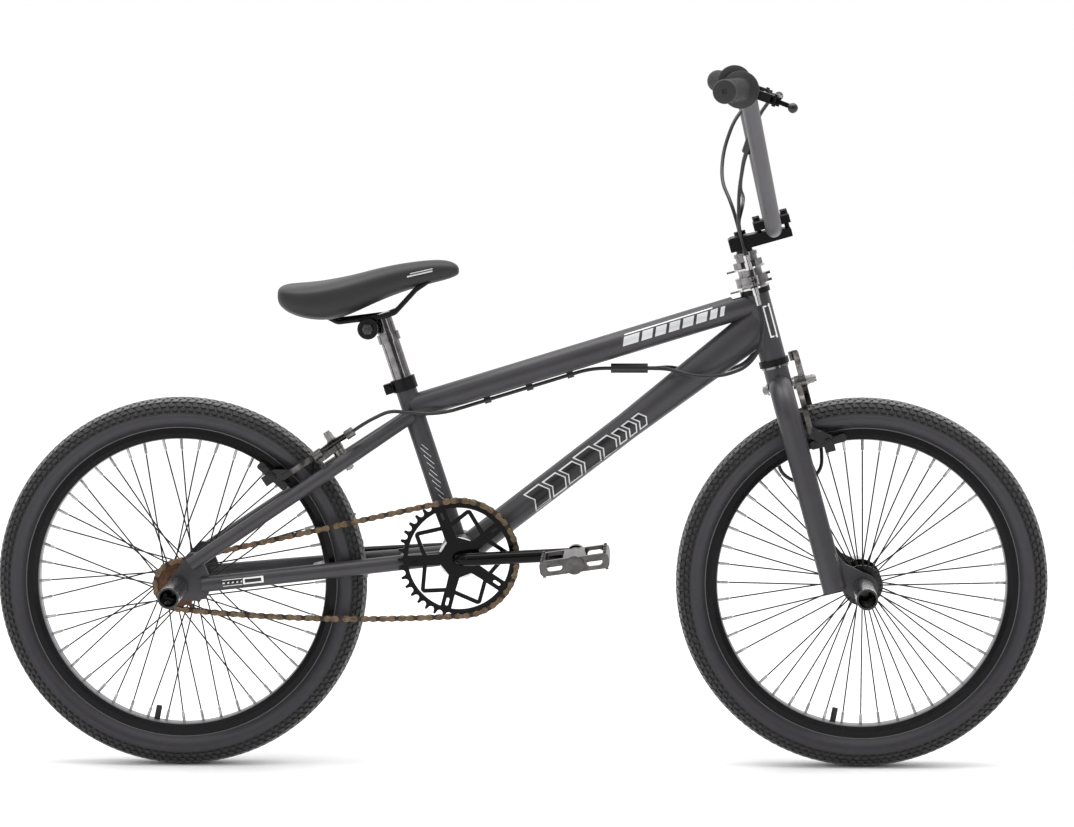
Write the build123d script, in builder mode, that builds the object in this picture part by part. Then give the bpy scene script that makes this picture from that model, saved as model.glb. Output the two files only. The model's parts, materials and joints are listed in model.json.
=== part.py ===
from build123d import *
import os
from math import acos, asin, atan2, ceil, cos, degrees, pi, radians, sin, sqrt, tan

# A 20 inch freestyle BMX bicycle. Millimetres. +X is forward, +Y is the rider's left, +Z is up.
# The origin is on the ground, midway between the two wheels.

os.makedirs("parts", exist_ok=True)

# ---------- driving dimensions: layout ----------
wheelbase = 924.0
tyre_radius = 252.0            # 20 x 2.125 tyre, to the top of its tread
bracket_height = 289.5         # centre of the bottom bracket above the ground
chain_stay_length = 381.1      # rear axle to bottom bracket
head_angle = 75.0              # steering axis above the horizontal
fork_rake = 38.0               # front axle ahead of the steering axis
fork_length = 325.0            # front axle to the bottom of the head tube, along the steering axis
head_length = 92.0
seat_angle = 72.0
seat_tube_length = 252.0
stem_reach = 45.0              # handlebar ahead of the steering axis
bar_height = 171.2             # centre of the handlebar clamp above the head tube's lower end

# ---------- frame tubes ----------
head_radius = 17.5
head_bore = 15.2
top_tube_radius = 17.0
top_tube_wall = 1.5
top_tube_rear_drop = 41.0      # top tube's axis below the seat tube's top, along the seat tube
top_tube_front_rise = 80.6     # top tube's axis above the head tube's lower end
down_tube_radius = 19.0        # where it leaves the bottom bracket
down_tube_head_height = 26.0   # half its height where it meets the head tube
down_tube_head_width = 17.0    # half its width there
down_tube_front_rise = 52.6
down_tube_wall = 1.6
seat_tube_radius = 14.3
seat_post_radius = 12.7
sliding_fit = 0.1
seat_stay_radius = 9.5
seat_stay_wall = 1.5
chain_stay_radius = 10.5
chain_stay_wall = 1.5
shell_radius = 28.5
shell_bore = 25.7
shell_half_width = 34.0
tyre_gap = 4.5                 # side clearance between the tyre and a chain stay's wall

# ---------- wheels ----------
tyre_half_width = 27.0
tyre_wall = 3.4
tread_thickness = 4.4
rim_edge_radius = 211.6        # 406 mm bead seat rim
rim_inner_radius = 195.3
rim_half_width = 17.4
rim_well_radius = 202.2
bead_radius = 206.0
bead_half_width = 15.2
spokes_per_flange = 24
spoke_radius = 1.0
spoke_rim_radius = 181.5       # where a spoke enters its nipple
nipple_radius = 2.0
flange_radius = 27.7
flange_hole_circle = 24.5
flange_offset = 30.0
flange_thickness = 3.0
axle_radius = 4.75
front_dropout_gap = 100.0
rear_dropout_gap = 110.0
dropout_thickness = 6.0
washer_thickness = 2.0
peg_radius = 14.3
peg_bore = 11.6
peg_length = 102.0
peg_floor = 6.0

# ---------- fork, stem, bar ----------
leg_radius = 15.9
leg_spread = 58.0              # leg centre from the middle plane
crown_drop = 39.0              # crown and brake bolt below the head tube's lower end
leg_drop = 318.0
shoulder_radius = 38.0
steerer_radius = 12.7
steerer_bore = 11.25
quill_radius = 11.1
bar_radius = 11.1
clamp_fit = 0.1
stem_half_width = 23.0
grip_radius = 15.5
grip_flange_radius = 24.5
crossbar_radius = 8.0

# ---------- drivetrain ----------
pitch = 12.7
ring_teeth = 39
cog_teeth = 16
chain_line = 44.0
tooth_thickness = 2.8
roller_radius = 3.9
seat_radius = 4.15             # tooth gap round a roller
crank_length = 160.0
crank_angle = 4.6              # right arm above level, pointing forward
crank_radius = 8.8
pedal_reach = 91.0             # middle of the pedal boss from the middle plane
pedal_inner = 105.0
pedal_width = 90.0
pedal_length = 92.0
pedal_height = 20.0
right_pedal_tilt = 8.0
left_pedal_tilt = 104.0

# ---------- brakes and cables ----------
housing_radius = 2.5
wire_radius = 0.8
caliper_reach_front = 85.6     # pivot bolt down to the brake shoe
caliper_reach_rear = 90.7
shoe_offset_front = 43.0       # shoe ahead of the plane through the pivot's mounting
shoe_offset_rear = 36.7
lug_offset = 50.0
brake_bolt_radius = 3.0

# ---------- worked-out positions and planes ----------
rear_x = -wheelbase / 2
front_x = wheelbase / 2
bracket_x = rear_x + sqrt(chain_stay_length**2 - (bracket_height - tyre_radius)**2)
steer_cos = cos(radians(head_angle))
steer_sin = sin(radians(head_angle))
head_x = front_x - fork_rake * steer_sin - fork_length * steer_cos
head_z = tyre_radius - fork_rake * steer_cos + fork_length * steer_sin
steer = Plane(origin=(head_x, 0, head_z), x_dir=(steer_sin, 0, steer_cos),
              z_dir=(-steer_cos, 0, steer_sin))
seat_cos = cos(radians(seat_angle))
seat_sin = sin(radians(seat_angle))
seat_axis = Plane(origin=(bracket_x, 0, bracket_height), x_dir=(seat_sin, 0, seat_cos),
                  z_dir=(-seat_cos, 0, seat_sin))
bracket_side = Plane(origin=(bracket_x, 0, bracket_height), x_dir=(1, 0, 0), z_dir=(0, -1, 0))
rear_side = Plane(origin=(rear_x, 0, tyre_radius), x_dir=(1, 0, 0), z_dir=(0, -1, 0))
front_side = Plane(origin=(front_x, 0, tyre_radius), x_dir=(1, 0, 0), z_dir=(0, -1, 0))


def on_steer(x, y, z):
    """A point given along the steering axis's own directions."""
    return steer.from_local_coords(Vector(x, y, z))


def on_seat(x, y, z):
    """A point given along the seat tube's own directions."""
    return seat_axis.from_local_coords(Vector(x, y, z))


def disc(plane, low, high, radius, bore=0.0, mode=Mode.ADD):
    """A round piece, ring or hole about the plane's normal, from low to high along it."""
    with BuildSketch(plane.offset(low)) as face:
        Circle(radius)
        if bore > 0:
            Circle(bore, mode=Mode.SUBTRACT)
    extrude(face.sketch, amount=high - low, mode=mode)


def hexagon(plane, low, high, across_flats, bore=0.0):
    """A nut, from low to high along the plane's normal."""
    with BuildSketch(plane.offset(low)) as face:
        RegularPolygon(across_flats / 2, 6, major_radius=False)
        if bore > 0:
            Circle(bore, mode=Mode.SUBTRACT)
    extrude(face.sketch, amount=high - low)


def rod(start, end, radius, bore=0.0, mode=Mode.ADD):
    """A straight round bar or tube between two points."""
    line = Vector(*end) - Vector(*start)
    disc(Plane(origin=start, z_dir=line), 0, line.length, radius, bore, mode)


def across(side, x=0.0, z=0.0):
    """A plane facing +Y or -Y through a point given from the side plane's middle."""
    return Plane(origin=side.origin + Vector(x, 0, z), x_dir=(1, 0, 0), z_dir=(0, -1, 0))


def both_sides(side, low, high, radius, bore=0.0):
    """The same ring on the right and on the left, from low to high off the middle plane."""
    disc(side, low, high, radius, bore)
    disc(side, -high, -low, radius, bore)


# ---------- frame ----------
with BuildPart() as head_tube:
    disc(steer, 0, head_length, head_radius, head_bore)
head_tube.part.label = "head_tube"
export_step(head_tube.part, "parts/head_tube.step")

with BuildPart() as bottom_bracket_shell:
    disc(bracket_side, -shell_half_width, shell_half_width, shell_radius, shell_bore)
bottom_bracket_shell.part.label = "bottom_bracket_shell"
export_step(bottom_bracket_shell.part, "parts/bottom_bracket_shell.step")

with BuildPart() as seat_tube:
    disc(seat_axis, 10, seat_tube_length, seat_tube_radius, seat_post_radius + sliding_fit)
    disc(bracket_side, -shell_half_width, shell_half_width, shell_radius, mode=Mode.SUBTRACT)
seat_tube.part.label = "seat_tube"
export_step(seat_tube.part, "parts/seat_tube.step")

top_rear = on_seat(0, 0, seat_tube_length - top_tube_rear_drop)
top_front = on_steer(0, 0, top_tube_front_rise)
with BuildPart() as top_tube:
    rod(top_rear, top_front, top_tube_radius, top_tube_radius - top_tube_wall)
    disc(seat_axis, 0, seat_tube_length, seat_tube_radius, mode=Mode.SUBTRACT)
    disc(steer, 0, head_length, head_radius, mode=Mode.SUBTRACT)
    disc(steer, head_length - 0.2, head_length + 60, 2 * top_tube_radius, mode=Mode.SUBTRACT)
top_tube.part.label = "top_tube"
export_step(top_tube.part, "parts/top_tube.step")

down_rear = Vector(bracket_x, 0, bracket_height)
down_front = on_steer(0, 0, down_tube_front_rise)
down_line = down_front - down_rear
down_up = Vector(0, 1, 0).cross(down_line).normalized() * -1
down_start = Plane(origin=down_rear, x_dir=(0, 1, 0), z_dir=down_line)
round_share = 0.55             # share of its length over which the down tube stays round
with BuildPart() as down_tube:
    for wall, mode in ((0.0, Mode.ADD), (down_tube_wall, Mode.SUBTRACT)):
        disc(down_start, 0, down_line.length * round_share, down_tube_radius - wall, mode=mode)
        with BuildSketch(down_start.offset(down_line.length * round_share)):
            Circle(down_tube_radius - wall)
        with BuildSketch(down_start.offset(down_line.length)):
            Ellipse(down_tube_head_width - wall, down_tube_head_height - wall)
        loft(ruled=True, mode=mode)
    disc(bracket_side, -shell_half_width, shell_half_width, shell_radius, mode=Mode.SUBTRACT)
    disc(seat_axis, 0, seat_tube_length, seat_tube_radius, mode=Mode.SUBTRACT)
    disc(steer, -head_radius, head_length + head_radius, head_radius, mode=Mode.SUBTRACT)
    rod(top_rear, top_front, top_tube_radius, mode=Mode.SUBTRACT)
down_tube.part.label = "down_tube"
export_step(down_tube.part, "parts/down_tube.step")

# Chain stays run level with the line from the axle to the bottom bracket.
stay_line = (Vector(bracket_x, 0, bracket_height) - Vector(rear_x, 0, tyre_radius)).normalized()


def on_stay(along, y):
    """A point on the chain stay line, measured forward from the rear axle."""
    point = Vector(rear_x, 0, tyre_radius) + stay_line * along
    return Vector(point.X, y, point.Z)


dropout_inner = rear_dropout_gap / 2
dropout_outer = dropout_inner + dropout_thickness
stay_start = 33.0              # where a chain stay ends, ahead of the axle
stay_wide = tyre_half_width + tyre_gap + chain_stay_radius
stay_bend = 222.0              # beside the widest part of the tyre
stay_narrow = 31.0
stay_taper = 302.0
with BuildPart() as chain_stays:
    for hand in (-1, 1):
        with BuildLine() as stay_path:
            FilletPolyline(on_stay(stay_start, hand * (dropout_outer + 1)), on_stay(stay_bend, hand * stay_wide),
                           on_stay(stay_taper, hand * stay_narrow), on_stay(chain_stay_length, hand * 23.0),
                           radius=(120.0, 90.0))
        stay_end = Plane(origin=stay_path.line @ 0, z_dir=stay_path.line % 0)
        with BuildSketch(stay_end) as stay_face:
            Circle(chain_stay_radius)
            Circle(chain_stay_radius - chain_stay_wall, mode=Mode.SUBTRACT)
        sweep(stay_face.sketch, path=stay_path.line)
    disc(bracket_side, -shell_half_width - 8, shell_half_width + 8, shell_radius + 0.05, mode=Mode.SUBTRACT)
    disc(seat_axis, 0, seat_tube_length, seat_tube_radius, mode=Mode.SUBTRACT)
    bridge = on_stay(stay_taper, 0)
    disc(across(bracket_side, bridge.X - bracket_x, bridge.Z - bracket_height),
         -stay_narrow + chain_stay_radius + 0.5, stay_narrow - chain_stay_radius - 0.5, 6.5, 5.0)
chain_stays.part.label = "chain_stays"

# Seat stays: straight beside the tyre, then drawn in to the seat tube.
seat_stay_angle = 33.7
stay_rise = Vector(cos(radians(seat_stay_angle)), 0, sin(radians(seat_stay_angle)))
seat_stay_foot = Vector(rear_x + 24, 0, tyre_radius + 34.5)
brake_along = 238.0            # brake bridge, up the seat stays from their feet
seat_stay_top = 350.0
seat_stay_foot_y = dropout_outer + 2.5
seat_stay_brake_y = 44.0
seat_stay_top_y = 15.5
brake_pivot_rear = seat_stay_foot + stay_rise * brake_along
rear_caliper = Plane(origin=brake_pivot_rear, x_dir=(-stay_rise.Z, 0, stay_rise.X), z_dir=stay_rise)
rear_brake_boss = 8.0


def on_seat_stay(along, y):
    """A point on the seat stays' line, measured up from their feet."""
    point = seat_stay_foot + stay_rise * along
    return Vector(point.X, y, point.Z)


with BuildPart() as seat_stays:
    for hand in (-1, 1):
        with BuildLine() as stay_path:
            FilletPolyline(on_seat_stay(-8, hand * seat_stay_foot_y), on_seat_stay(brake_along, hand * seat_stay_brake_y),
                           on_seat_stay(seat_stay_top, hand * seat_stay_top_y), radius=90.0)
        stay_end = Plane(origin=stay_path.line @ 0, z_dir=stay_path.line % 0)
        with BuildSketch(stay_end) as stay_face:
            Circle(seat_stay_radius)
            Circle(seat_stay_radius - seat_stay_wall, mode=Mode.SUBTRACT)
        sweep(stay_face.sketch, path=stay_path.line)
    disc(seat_axis, 0, seat_tube_length + 20, seat_tube_radius, mode=Mode.SUBTRACT)
    rod(top_rear, top_front, top_tube_radius, mode=Mode.SUBTRACT)
    bridge_reach = seat_stay_brake_y - seat_stay_radius - 0.6
    disc(across(bracket_side, brake_pivot_rear.X - bracket_x, brake_pivot_rear.Z - bracket_height),
         -bridge_reach, bridge_reach, rear_brake_boss)
    disc(Plane(origin=brake_pivot_rear, z_dir=rear_caliper.x_dir), -40, 40,
         brake_bolt_radius + sliding_fit, mode=Mode.SUBTRACT)
seat_stays.part.label = "seat_stays"

# Flat plates that hold the rear axle in a slot open to the back.
with BuildPart() as rear_dropouts:
    for hand in (-1, 1):
        with BuildSketch(rear_side.offset(-hand * dropout_inner)) as plate:
            with BuildLine():
                FilletPolyline((-17, 5), (-9, 14), (16, 46), (30, 46), (42, 16), (46, 0), (38, -16), (24, -19),
                               (4, -18.6), (-16, -9), (-17, 5), radius=2.5, close=False)
            make_face()
            with Locations((-14, 0)):
                Rectangle(28, 2 * axle_radius + 0.6, mode=Mode.SUBTRACT)
            Circle(axle_radius + 0.3, mode=Mode.SUBTRACT)
        extrude(plate.sketch, amount=-hand * dropout_thickness)
rear_dropouts.part.label = "rear_dropouts"

# The dropout plates are slotted into the stays.
chain_stays_cut = chain_stays.part - rear_dropouts.part
chain_stays_cut.label = "chain_stays"
export_step(chain_stays_cut, "parts/chain_stays.step")
seat_stays_cut = seat_stays.part - rear_dropouts.part
seat_stays_cut.label = "seat_stays"
export_step(seat_stays_cut, "parts/seat_stays.step")
export_step(rear_dropouts.part, "parts/rear_dropouts.step")

# ---------- wheels ----------


def wheel_section(x):
    """A plane through a wheel's axle, with across-the-wheel first and radius second."""
    return Plane(origin=(x, 0, tyre_radius), x_dir=(0, 1, 0), z_dir=(1, 0, 0))


def axle_line(x):
    return Axis((x, 0, tyre_radius), (0, 1, 0))


def tyre_face(inset):
    """Half of a tyre's curved outline at a depth inside its surface: wall point, belly, shoulder, crown."""
    wall = (bead_half_width - inset, rim_edge_radius + 0.7)
    belly = (tyre_half_width - inset, rim_edge_radius + 16.0)
    shoulder = (19.0 - 0.75 * inset, tyre_radius - 6.5 - 0.9 * inset)
    return wall, belly, shoulder


valve_radius = 4.0
valve_angle = 258.75           # midway between two spokes, near the bottom of the wheel


def build_tyre(x):
    with BuildPart() as tyre:
        with BuildSketch(wheel_section(x)) as section:
            with BuildLine():
                wall, belly, shoulder = tyre_face(0)
                in_wall, in_belly, in_shoulder = tyre_face(tyre_wall)
                ThreePointArc(wall, belly, shoulder)
                ThreePointArc(shoulder, (0, tyre_radius), (-shoulder[0], shoulder[1]))
                ThreePointArc((-shoulder[0], shoulder[1]), (-belly[0], belly[1]), (-wall[0], wall[1]))
                Polyline((-wall[0], wall[1]), (-wall[0], bead_radius), (-in_wall[0], bead_radius),
                         (-in_wall[0], in_wall[1]))
                ThreePointArc((-in_wall[0], in_wall[1]), (-in_belly[0], in_belly[1]),
                              (-in_shoulder[0], in_shoulder[1]))
                ThreePointArc((-in_shoulder[0], in_shoulder[1]), (0, tyre_radius - tread_thickness), in_shoulder)
                ThreePointArc(in_shoulder, in_belly, in_wall)
                Polyline(in_wall, (in_wall[0], bead_radius), (wall[0], bead_radius), wall)
            make_face()
        revolve(section.sketch, axis=axle_line(x))
    return tyre.part


def build_inner_tube(x):
    gap = 0.4
    rubber = 1.4
    with BuildPart() as inner_tube:
        with BuildSketch(wheel_section(x)) as section:
            with BuildLine():
                wall, belly, shoulder = tyre_face(tyre_wall)
                ThreePointArc(wall, belly, shoulder)
                ThreePointArc(shoulder, (0, tyre_radius - tread_thickness), (-shoulder[0], shoulder[1]))
                ThreePointArc((-shoulder[0], shoulder[1]), (-belly[0], belly[1]), (-wall[0], wall[1]))
                Polyline((-wall[0], wall[1]), (-wall[0], bead_radius), (-8.4, rim_well_radius + 0.4),
                         (8.4, rim_well_radius + 0.4), (wall[0], bead_radius), wall)
            make_face()
            outline = offset(amount=-gap, mode=Mode.REPLACE)
            offset(outline, amount=-rubber, mode=Mode.SUBTRACT)
        revolve(section.sketch, axis=axle_line(x))
        valve = Plane(origin=(x, 0, tyre_radius),
                      z_dir=(cos(radians(valve_angle)), 0, sin(radians(valve_angle))))
        disc(valve, rim_inner_radius - 19, rim_well_radius + 1.4, valve_radius)
    return inner_tube.part


def build_rim(x):
    with BuildPart() as rim:
        with BuildSketch(wheel_section(x)) as section:
            with BuildLine():
                Polyline((0, rim_well_radius), (9, rim_well_radius), (11, rim_well_radius + 2.4),
                         (bead_half_width + 0.4, rim_well_radius + 2.4), (bead_half_width + 0.4, rim_edge_radius),
                         (rim_half_width, rim_edge_radius), (rim_half_width, rim_well_radius + 1.4),
                         (12.5, rim_inner_radius + 1.2), (8, rim_inner_radius), (0, rim_inner_radius))
                mirror(about=Plane.YZ)
            make_face()
        revolve(section.sketch, axis=axle_line(x))
        valve = Plane(origin=(x, 0, tyre_radius),
                      z_dir=(cos(radians(valve_angle)), 0, sin(radians(valve_angle))))
        disc(valve, rim_inner_radius - 5, rim_well_radius + 5, valve_radius + 0.3, mode=Mode.SUBTRACT)
    return rim.part


def build_hub(x, driver):
    """Hub shell with two drilled flanges, bearing balls at each end and a thread for a freewheel."""
    half = flange_offset + 7.0
    with BuildPart() as hub:
        side = Plane(origin=(x, 0, tyre_radius), x_dir=(1, 0, 0), z_dir=(0, -1, 0))
        disc(side, -half, half, 16.5)
        if driver:
            disc(side, half, chain_line + 5.0, 16.5)
        for hand in (-1, 1):
            disc(side, hand * flange_offset - flange_thickness / 2, hand * flange_offset + flange_thickness / 2,
                 flange_radius)
            phase = 0.0 if hand > 0 else 180.0 / spokes_per_flange
            with BuildSketch(side.offset(hand * flange_offset - flange_thickness)) as holes:
                with PolarLocations(flange_hole_circle, spokes_per_flange, start_angle=phase):
                    Circle(spoke_radius + 0.25)
            extrude(holes.sketch, amount=2 * flange_thickness, mode=Mode.SUBTRACT)
        end = chain_line + 5.0 if driver else half
        disc(side, -half, end, 7.0, mode=Mode.SUBTRACT)
        disc(side, -half, -half + 8, 13.0, mode=Mode.SUBTRACT)
        disc(side, end - 8, end, 13.0, mode=Mode.SUBTRACT)
        for level in (-half + 4.5, end - 4.5):
            with BuildSketch(side.offset(level - 2.2)) as balls:
                with PolarLocations(9.9, 9):
                    Circle(2.2)
            extrude(balls.sketch, amount=4.4)
    return hub.part


def build_spokes(x, crossed):
    """48 spokes: head, elbow through the flange, straight wire, and a nipple at the rim."""
    step = 360.0 / spokes_per_flange
    side = Plane(origin=(x, 0, tyre_radius), x_dir=(1, 0, 0), z_dir=(0, -1, 0))
    swing = 3 * step if crossed else 0.0
    reach = flange_thickness / 2 + 1.9
    with BuildPart() as spokes:
        for hand in (-1, 1):
            phase = 0.0 if hand > 0 else step / 2
            for turn in (-1, 1):
                wires = []
                for k in range(spokes_per_flange // 2):
                    angle = phase + (2 * k + (1 if turn > 0 else 0)) * step
                    start = side.from_local_coords(Vector(
                        flange_hole_circle * cos(radians(angle)), flange_hole_circle * sin(radians(angle)),
                        hand * flange_offset + turn * reach))
                    far = angle + turn * swing
                    end = side.from_local_coords(Vector(
                        (rim_inner_radius - 0.5) * cos(radians(far)), (rim_inner_radius - 0.5) * sin(radians(far)),
                        hand * 3.2 + turn * 1.3))
                    wires.append((start, end))
                length = (wires[0][1] - wires[0][0]).length
                nipple_length = rim_inner_radius - spoke_rim_radius
                for start, end in wires:
                    rod(start, end - (end - start).normalized() * nipple_length, spoke_radius)
                    rod(end - (end - start).normalized() * nipple_length, end, nipple_radius)
                with BuildSketch(side.offset(hand * flange_offset - reach)) as elbows:
                    with PolarLocations(flange_hole_circle, spokes_per_flange // 2,
                                        start_angle=phase + (step if turn > 0 else 0)):
                        Circle(spoke_radius)
                extrude(elbows.sketch, amount=2 * reach)
                head_from = hand * flange_offset - turn * (flange_thickness / 2 + 0.1)
                with BuildSketch(side.offset(head_from)) as heads:
                    with PolarLocations(flange_hole_circle, spokes_per_flange // 2,
                                        start_angle=phase + (step if turn > 0 else 0)):
                        Circle(1.9)
                extrude(heads.sketch, amount=-turn * 1.2)
    return spokes.part


def build_axle(x, gap, driver):
    """Axle, cones, locknuts, washers and the nuts inside the pegs: one solid each."""
    side = Plane(origin=(x, 0, tyre_radius), x_dir=(1, 0, 0), z_dir=(0, -1, 0))
    inner = gap / 2
    outer = inner + dropout_thickness
    floor = outer + washer_thickness + peg_floor
    thread = axle_radius + 0.05
    with BuildPart() as axle:
        disc(side, -floor - 12, floor + 12, axle_radius)
        for hand in (-1, 1):
            cone = flange_offset + 2.0
            if driver and hand > 0:
                cone = chain_line
            for low, high, radius in ((cone, cone + 4.2, 7.4), (cone + 4.3, inner - 4.1, 6.6),
                                      (inner - 4.0, inner, 8.5), (outer, outer + washer_thickness, 10.5)):
                ends = sorted((hand * low, hand * high))
                disc(side, ends[0], ends[1], radius, thread)
            ends = sorted((hand * (floor + 0.1), hand * (floor + 9)))
            hexagon(side, ends[0], ends[1], 15.0, thread)
    return axle.part


def build_pegs(x, gap):
    """A steel tube on each end of the axle, closed at the wheel's end but for the axle's hole."""
    side = Plane(origin=(x, 0, tyre_radius), x_dir=(1, 0, 0), z_dir=(0, -1, 0))
    start = gap / 2 + dropout_thickness + washer_thickness
    with BuildPart() as pegs:
        both_sides(side, start, start + peg_floor, peg_radius, axle_radius + 0.1)
        both_sides(side, start + peg_floor, start + peg_length, peg_radius, peg_bore)
    return pegs.part


for end_name, wheel_x, gap, driver in (("front", front_x, front_dropout_gap, False),
                                       ("rear", rear_x, rear_dropout_gap, True)):
    for piece, shape in (("tyre", build_tyre(wheel_x)), ("inner_tube", build_inner_tube(wheel_x)),
                         ("rim", build_rim(wheel_x)), ("hub", build_hub(wheel_x, driver)),
                         ("spokes", build_spokes(wheel_x, driver)), ("axle", build_axle(wheel_x, gap, driver)),
                         ("pegs", build_pegs(wheel_x, gap))):
        shape.label = f"{end_name}_{piece}"
        export_step(shape, f"parts/{end_name}_{piece}.step")

# ---------- fork ----------
crown_base_radius = 16.8
with BuildPart() as fork_legs:
    with BuildLine() as leg_path:
        FilletPolyline(on_steer(0, -leg_spread, -leg_drop), on_steer(0, -leg_spread, -crown_drop),
                       on_steer(0, leg_spread, -crown_drop), on_steer(0, leg_spread, -leg_drop),
                       radius=shoulder_radius)
    leg_end = Plane(origin=leg_path.line @ 0, z_dir=leg_path.line % 0)
    with BuildSketch(leg_end) as leg_face:
        Circle(leg_radius)
    sweep(leg_face.sketch, path=leg_path.line)
    for hand in (-1, 1):
        bore = Plane(origin=on_steer(0, hand * leg_spread, -leg_drop + 8), z_dir=steer.z_dir)
        disc(bore, 0, leg_drop - crown_drop - shoulder_radius - 8, leg_radius - 1.8, mode=Mode.SUBTRACT)
    disc(steer, -crown_drop, -12.0, crown_base_radius)
    disc(steer, -crown_drop - 30, 0, steerer_radius + 0.05, mode=Mode.SUBTRACT)
    disc(Plane(origin=on_steer(0, 0, -crown_drop), z_dir=steer.x_dir), -40, 40,
         brake_bolt_radius + sliding_fit, mode=Mode.SUBTRACT)
with BuildPart() as fork_dropouts:
    for hand in (-1, 1):
        with BuildSketch(front_side.offset(-hand * front_dropout_gap / 2)) as plate:
            with BuildLine():
                Polyline((-48, 60), (-25, 33), (3.5, 19.2))
                ThreePointArc((3.5, 19.2), (19.5, 0), (0, -19.5))
                Polyline((0, -19.5), (-22, -8), (-40, 2), (-54, 20), (-48, 60))
            make_face()
            with Locations((0, -12)):
                Rectangle(2 * axle_radius + 0.6, 24, mode=Mode.SUBTRACT)
            Circle(axle_radius + 0.3, mode=Mode.SUBTRACT)
        extrude(plate.sketch, amount=-hand * dropout_thickness)
    for hand in (-1, 1):
        rod(on_steer(0, hand * leg_spread, -leg_drop - 1), on_steer(0, hand * leg_spread, -100), leg_radius,
            mode=Mode.SUBTRACT)
fork_group = Compound(children=[fork_legs.part, fork_dropouts.part])
fork_group.label = "fork_legs"
export_step(fork_group, "parts/fork_legs.step")

steerer_top = 150.0
with BuildPart() as fork_steerer:
    disc(steer, -crown_drop - 11, steerer_top, steerer_radius, steerer_bore)
    disc(Plane(origin=on_steer(0, 0, -crown_drop), z_dir=steer.x_dir), -40, 40,
         brake_bolt_radius + sliding_fit, mode=Mode.SUBTRACT)
fork_steerer.part.label = "fork_steerer"
export_step(fork_steerer.part, "parts/fork_steerer.step")

# ---------- headset and cable detangler ----------
cup_radius = 20.4
cup_rise = 7.5
race_gap = 0.25
with BuildPart() as headset_cups:
    for low, high, radius in ((-8.5, 0, cup_radius), (0, 8, head_bore - 0.05),
                              (head_length - 8, head_length, head_bore - 0.05),
                              (head_length, head_length + cup_rise, cup_radius)):
        disc(steer, low, high, radius, steerer_radius + race_gap)
headset_cups.part.label = "headset_cups"
export_step(headset_cups.part, "parts/headset_cups.step")

mount_low = head_length + cup_rise
mount_high = mount_low + 2.5
mount_bore = 17.4
sleeve_radius = 16.2
travel = 8.0                   # how far the detangler slides
lower_ring = mount_high + 2.5
upper_ring = lower_ring + 9.5
upper_mount = upper_ring + 4.0 + travel + 1.0
barrel_out = 27.0              # cable barrels, out from the steering axis
with BuildPart() as headset_locknut:
    disc(steer, -11.8, -8.8, 18.6, steerer_radius + 0.05)
    disc(steer, mount_low + 0.4, upper_mount - 0.2, sleeve_radius, steerer_radius + 0.05)
    hexagon(steer, upper_mount + 2.8, upper_mount + 11, 34.0, steerer_radius + 0.05)
    disc(steer, upper_mount + 11.3, upper_mount + 17, 14.6, steerer_radius + 0.05)
    disc(steer, upper_mount + 17.3, 149.6, 16.0, steerer_radius + 0.05)
headset_locknut.part.label = "headset_locknut"
export_step(headset_locknut.part, "parts/headset_locknut.step")


def ear_plate(low, high, bore, radius, hole, tab=0.0):
    """A ring with an ear on each side for a cable, and a tab to the front or back."""
    with BuildSketch(steer.offset(low)) as face:
        Circle(radius)
        SlotOverall(2 * barrel_out + 11, 11, rotation=90)
        if tab:
            with Locations((tab / 2, 0)):
                Rectangle(abs(tab), 12)
        Circle(bore, mode=Mode.SUBTRACT)
        with Locations((0, barrel_out), (0, -barrel_out)):
            Circle(hole, mode=Mode.SUBTRACT)
    extrude(face.sketch, amount=high - low)


def side_rings(low, high, radius, bore):
    """The same small ring over each ear."""
    for hand in (-1, 1):
        disc(Plane(origin=on_steer(0, hand * barrel_out, low), z_dir=steer.z_dir), 0, high - low, radius, bore)


wire_hole = wire_radius + 0.5
cable_bore = housing_radius + 0.4
with BuildPart() as gyro_lower_mount:
    ear_plate(mount_low, mount_high, mount_bore, 21.5, wire_hole, -33.0)
    side_rings(mount_low - 22, mount_low - 8, 3.7, cable_bore)
    side_rings(mount_low - 8, mount_low, 4.6, wire_hole)
gyro_lower_mount.part.label = "gyro_lower_mount"
export_step(gyro_lower_mount.part, "parts/gyro_lower_mount.step")
with BuildPart() as gyro_upper_mount:
    ear_plate(upper_mount, upper_mount + 2.5, steerer_radius + 0.05, 21.5, wire_hole, -31.0)
    side_rings(upper_mount + 2.5, upper_mount + 10, 4.6, wire_hole)
    side_rings(upper_mount + 10, upper_mount + 20, 3.7, cable_bore)
gyro_upper_mount.part.label = "gyro_upper_mount"
export_step(gyro_upper_mount.part, "parts/gyro_upper_mount.step")
with BuildPart() as gyro_lower_plate:
    ear_plate(lower_ring, lower_ring + 3.4, sleeve_radius + 0.35, 22.5, wire_hole, 26.0)
    side_rings(lower_ring + 3.4, lower_ring + 5.8, 2.6, wire_hole)
    disc(steer, lower_ring + 3.4, lower_ring + 9.2, 19.0, sleeve_radius + 0.35)
gyro_lower_plate.part.label = "gyro_lower_plate"
export_step(gyro_lower_plate.part, "parts/gyro_lower_plate.step")
with BuildPart() as gyro_upper_plate:
    ear_plate(upper_ring, upper_ring + 3.4, sleeve_radius + 0.35, 22.5, wire_hole, 26.0)
    side_rings(upper_ring - 2.4, upper_ring, 2.6, wire_hole)
    disc(steer, lower_ring + 3.8, upper_ring, 22.2, 19.35)
gyro_upper_plate.part.label = "gyro_upper_plate"
export_step(gyro_upper_plate.part, "parts/gyro_upper_plate.step")

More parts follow.
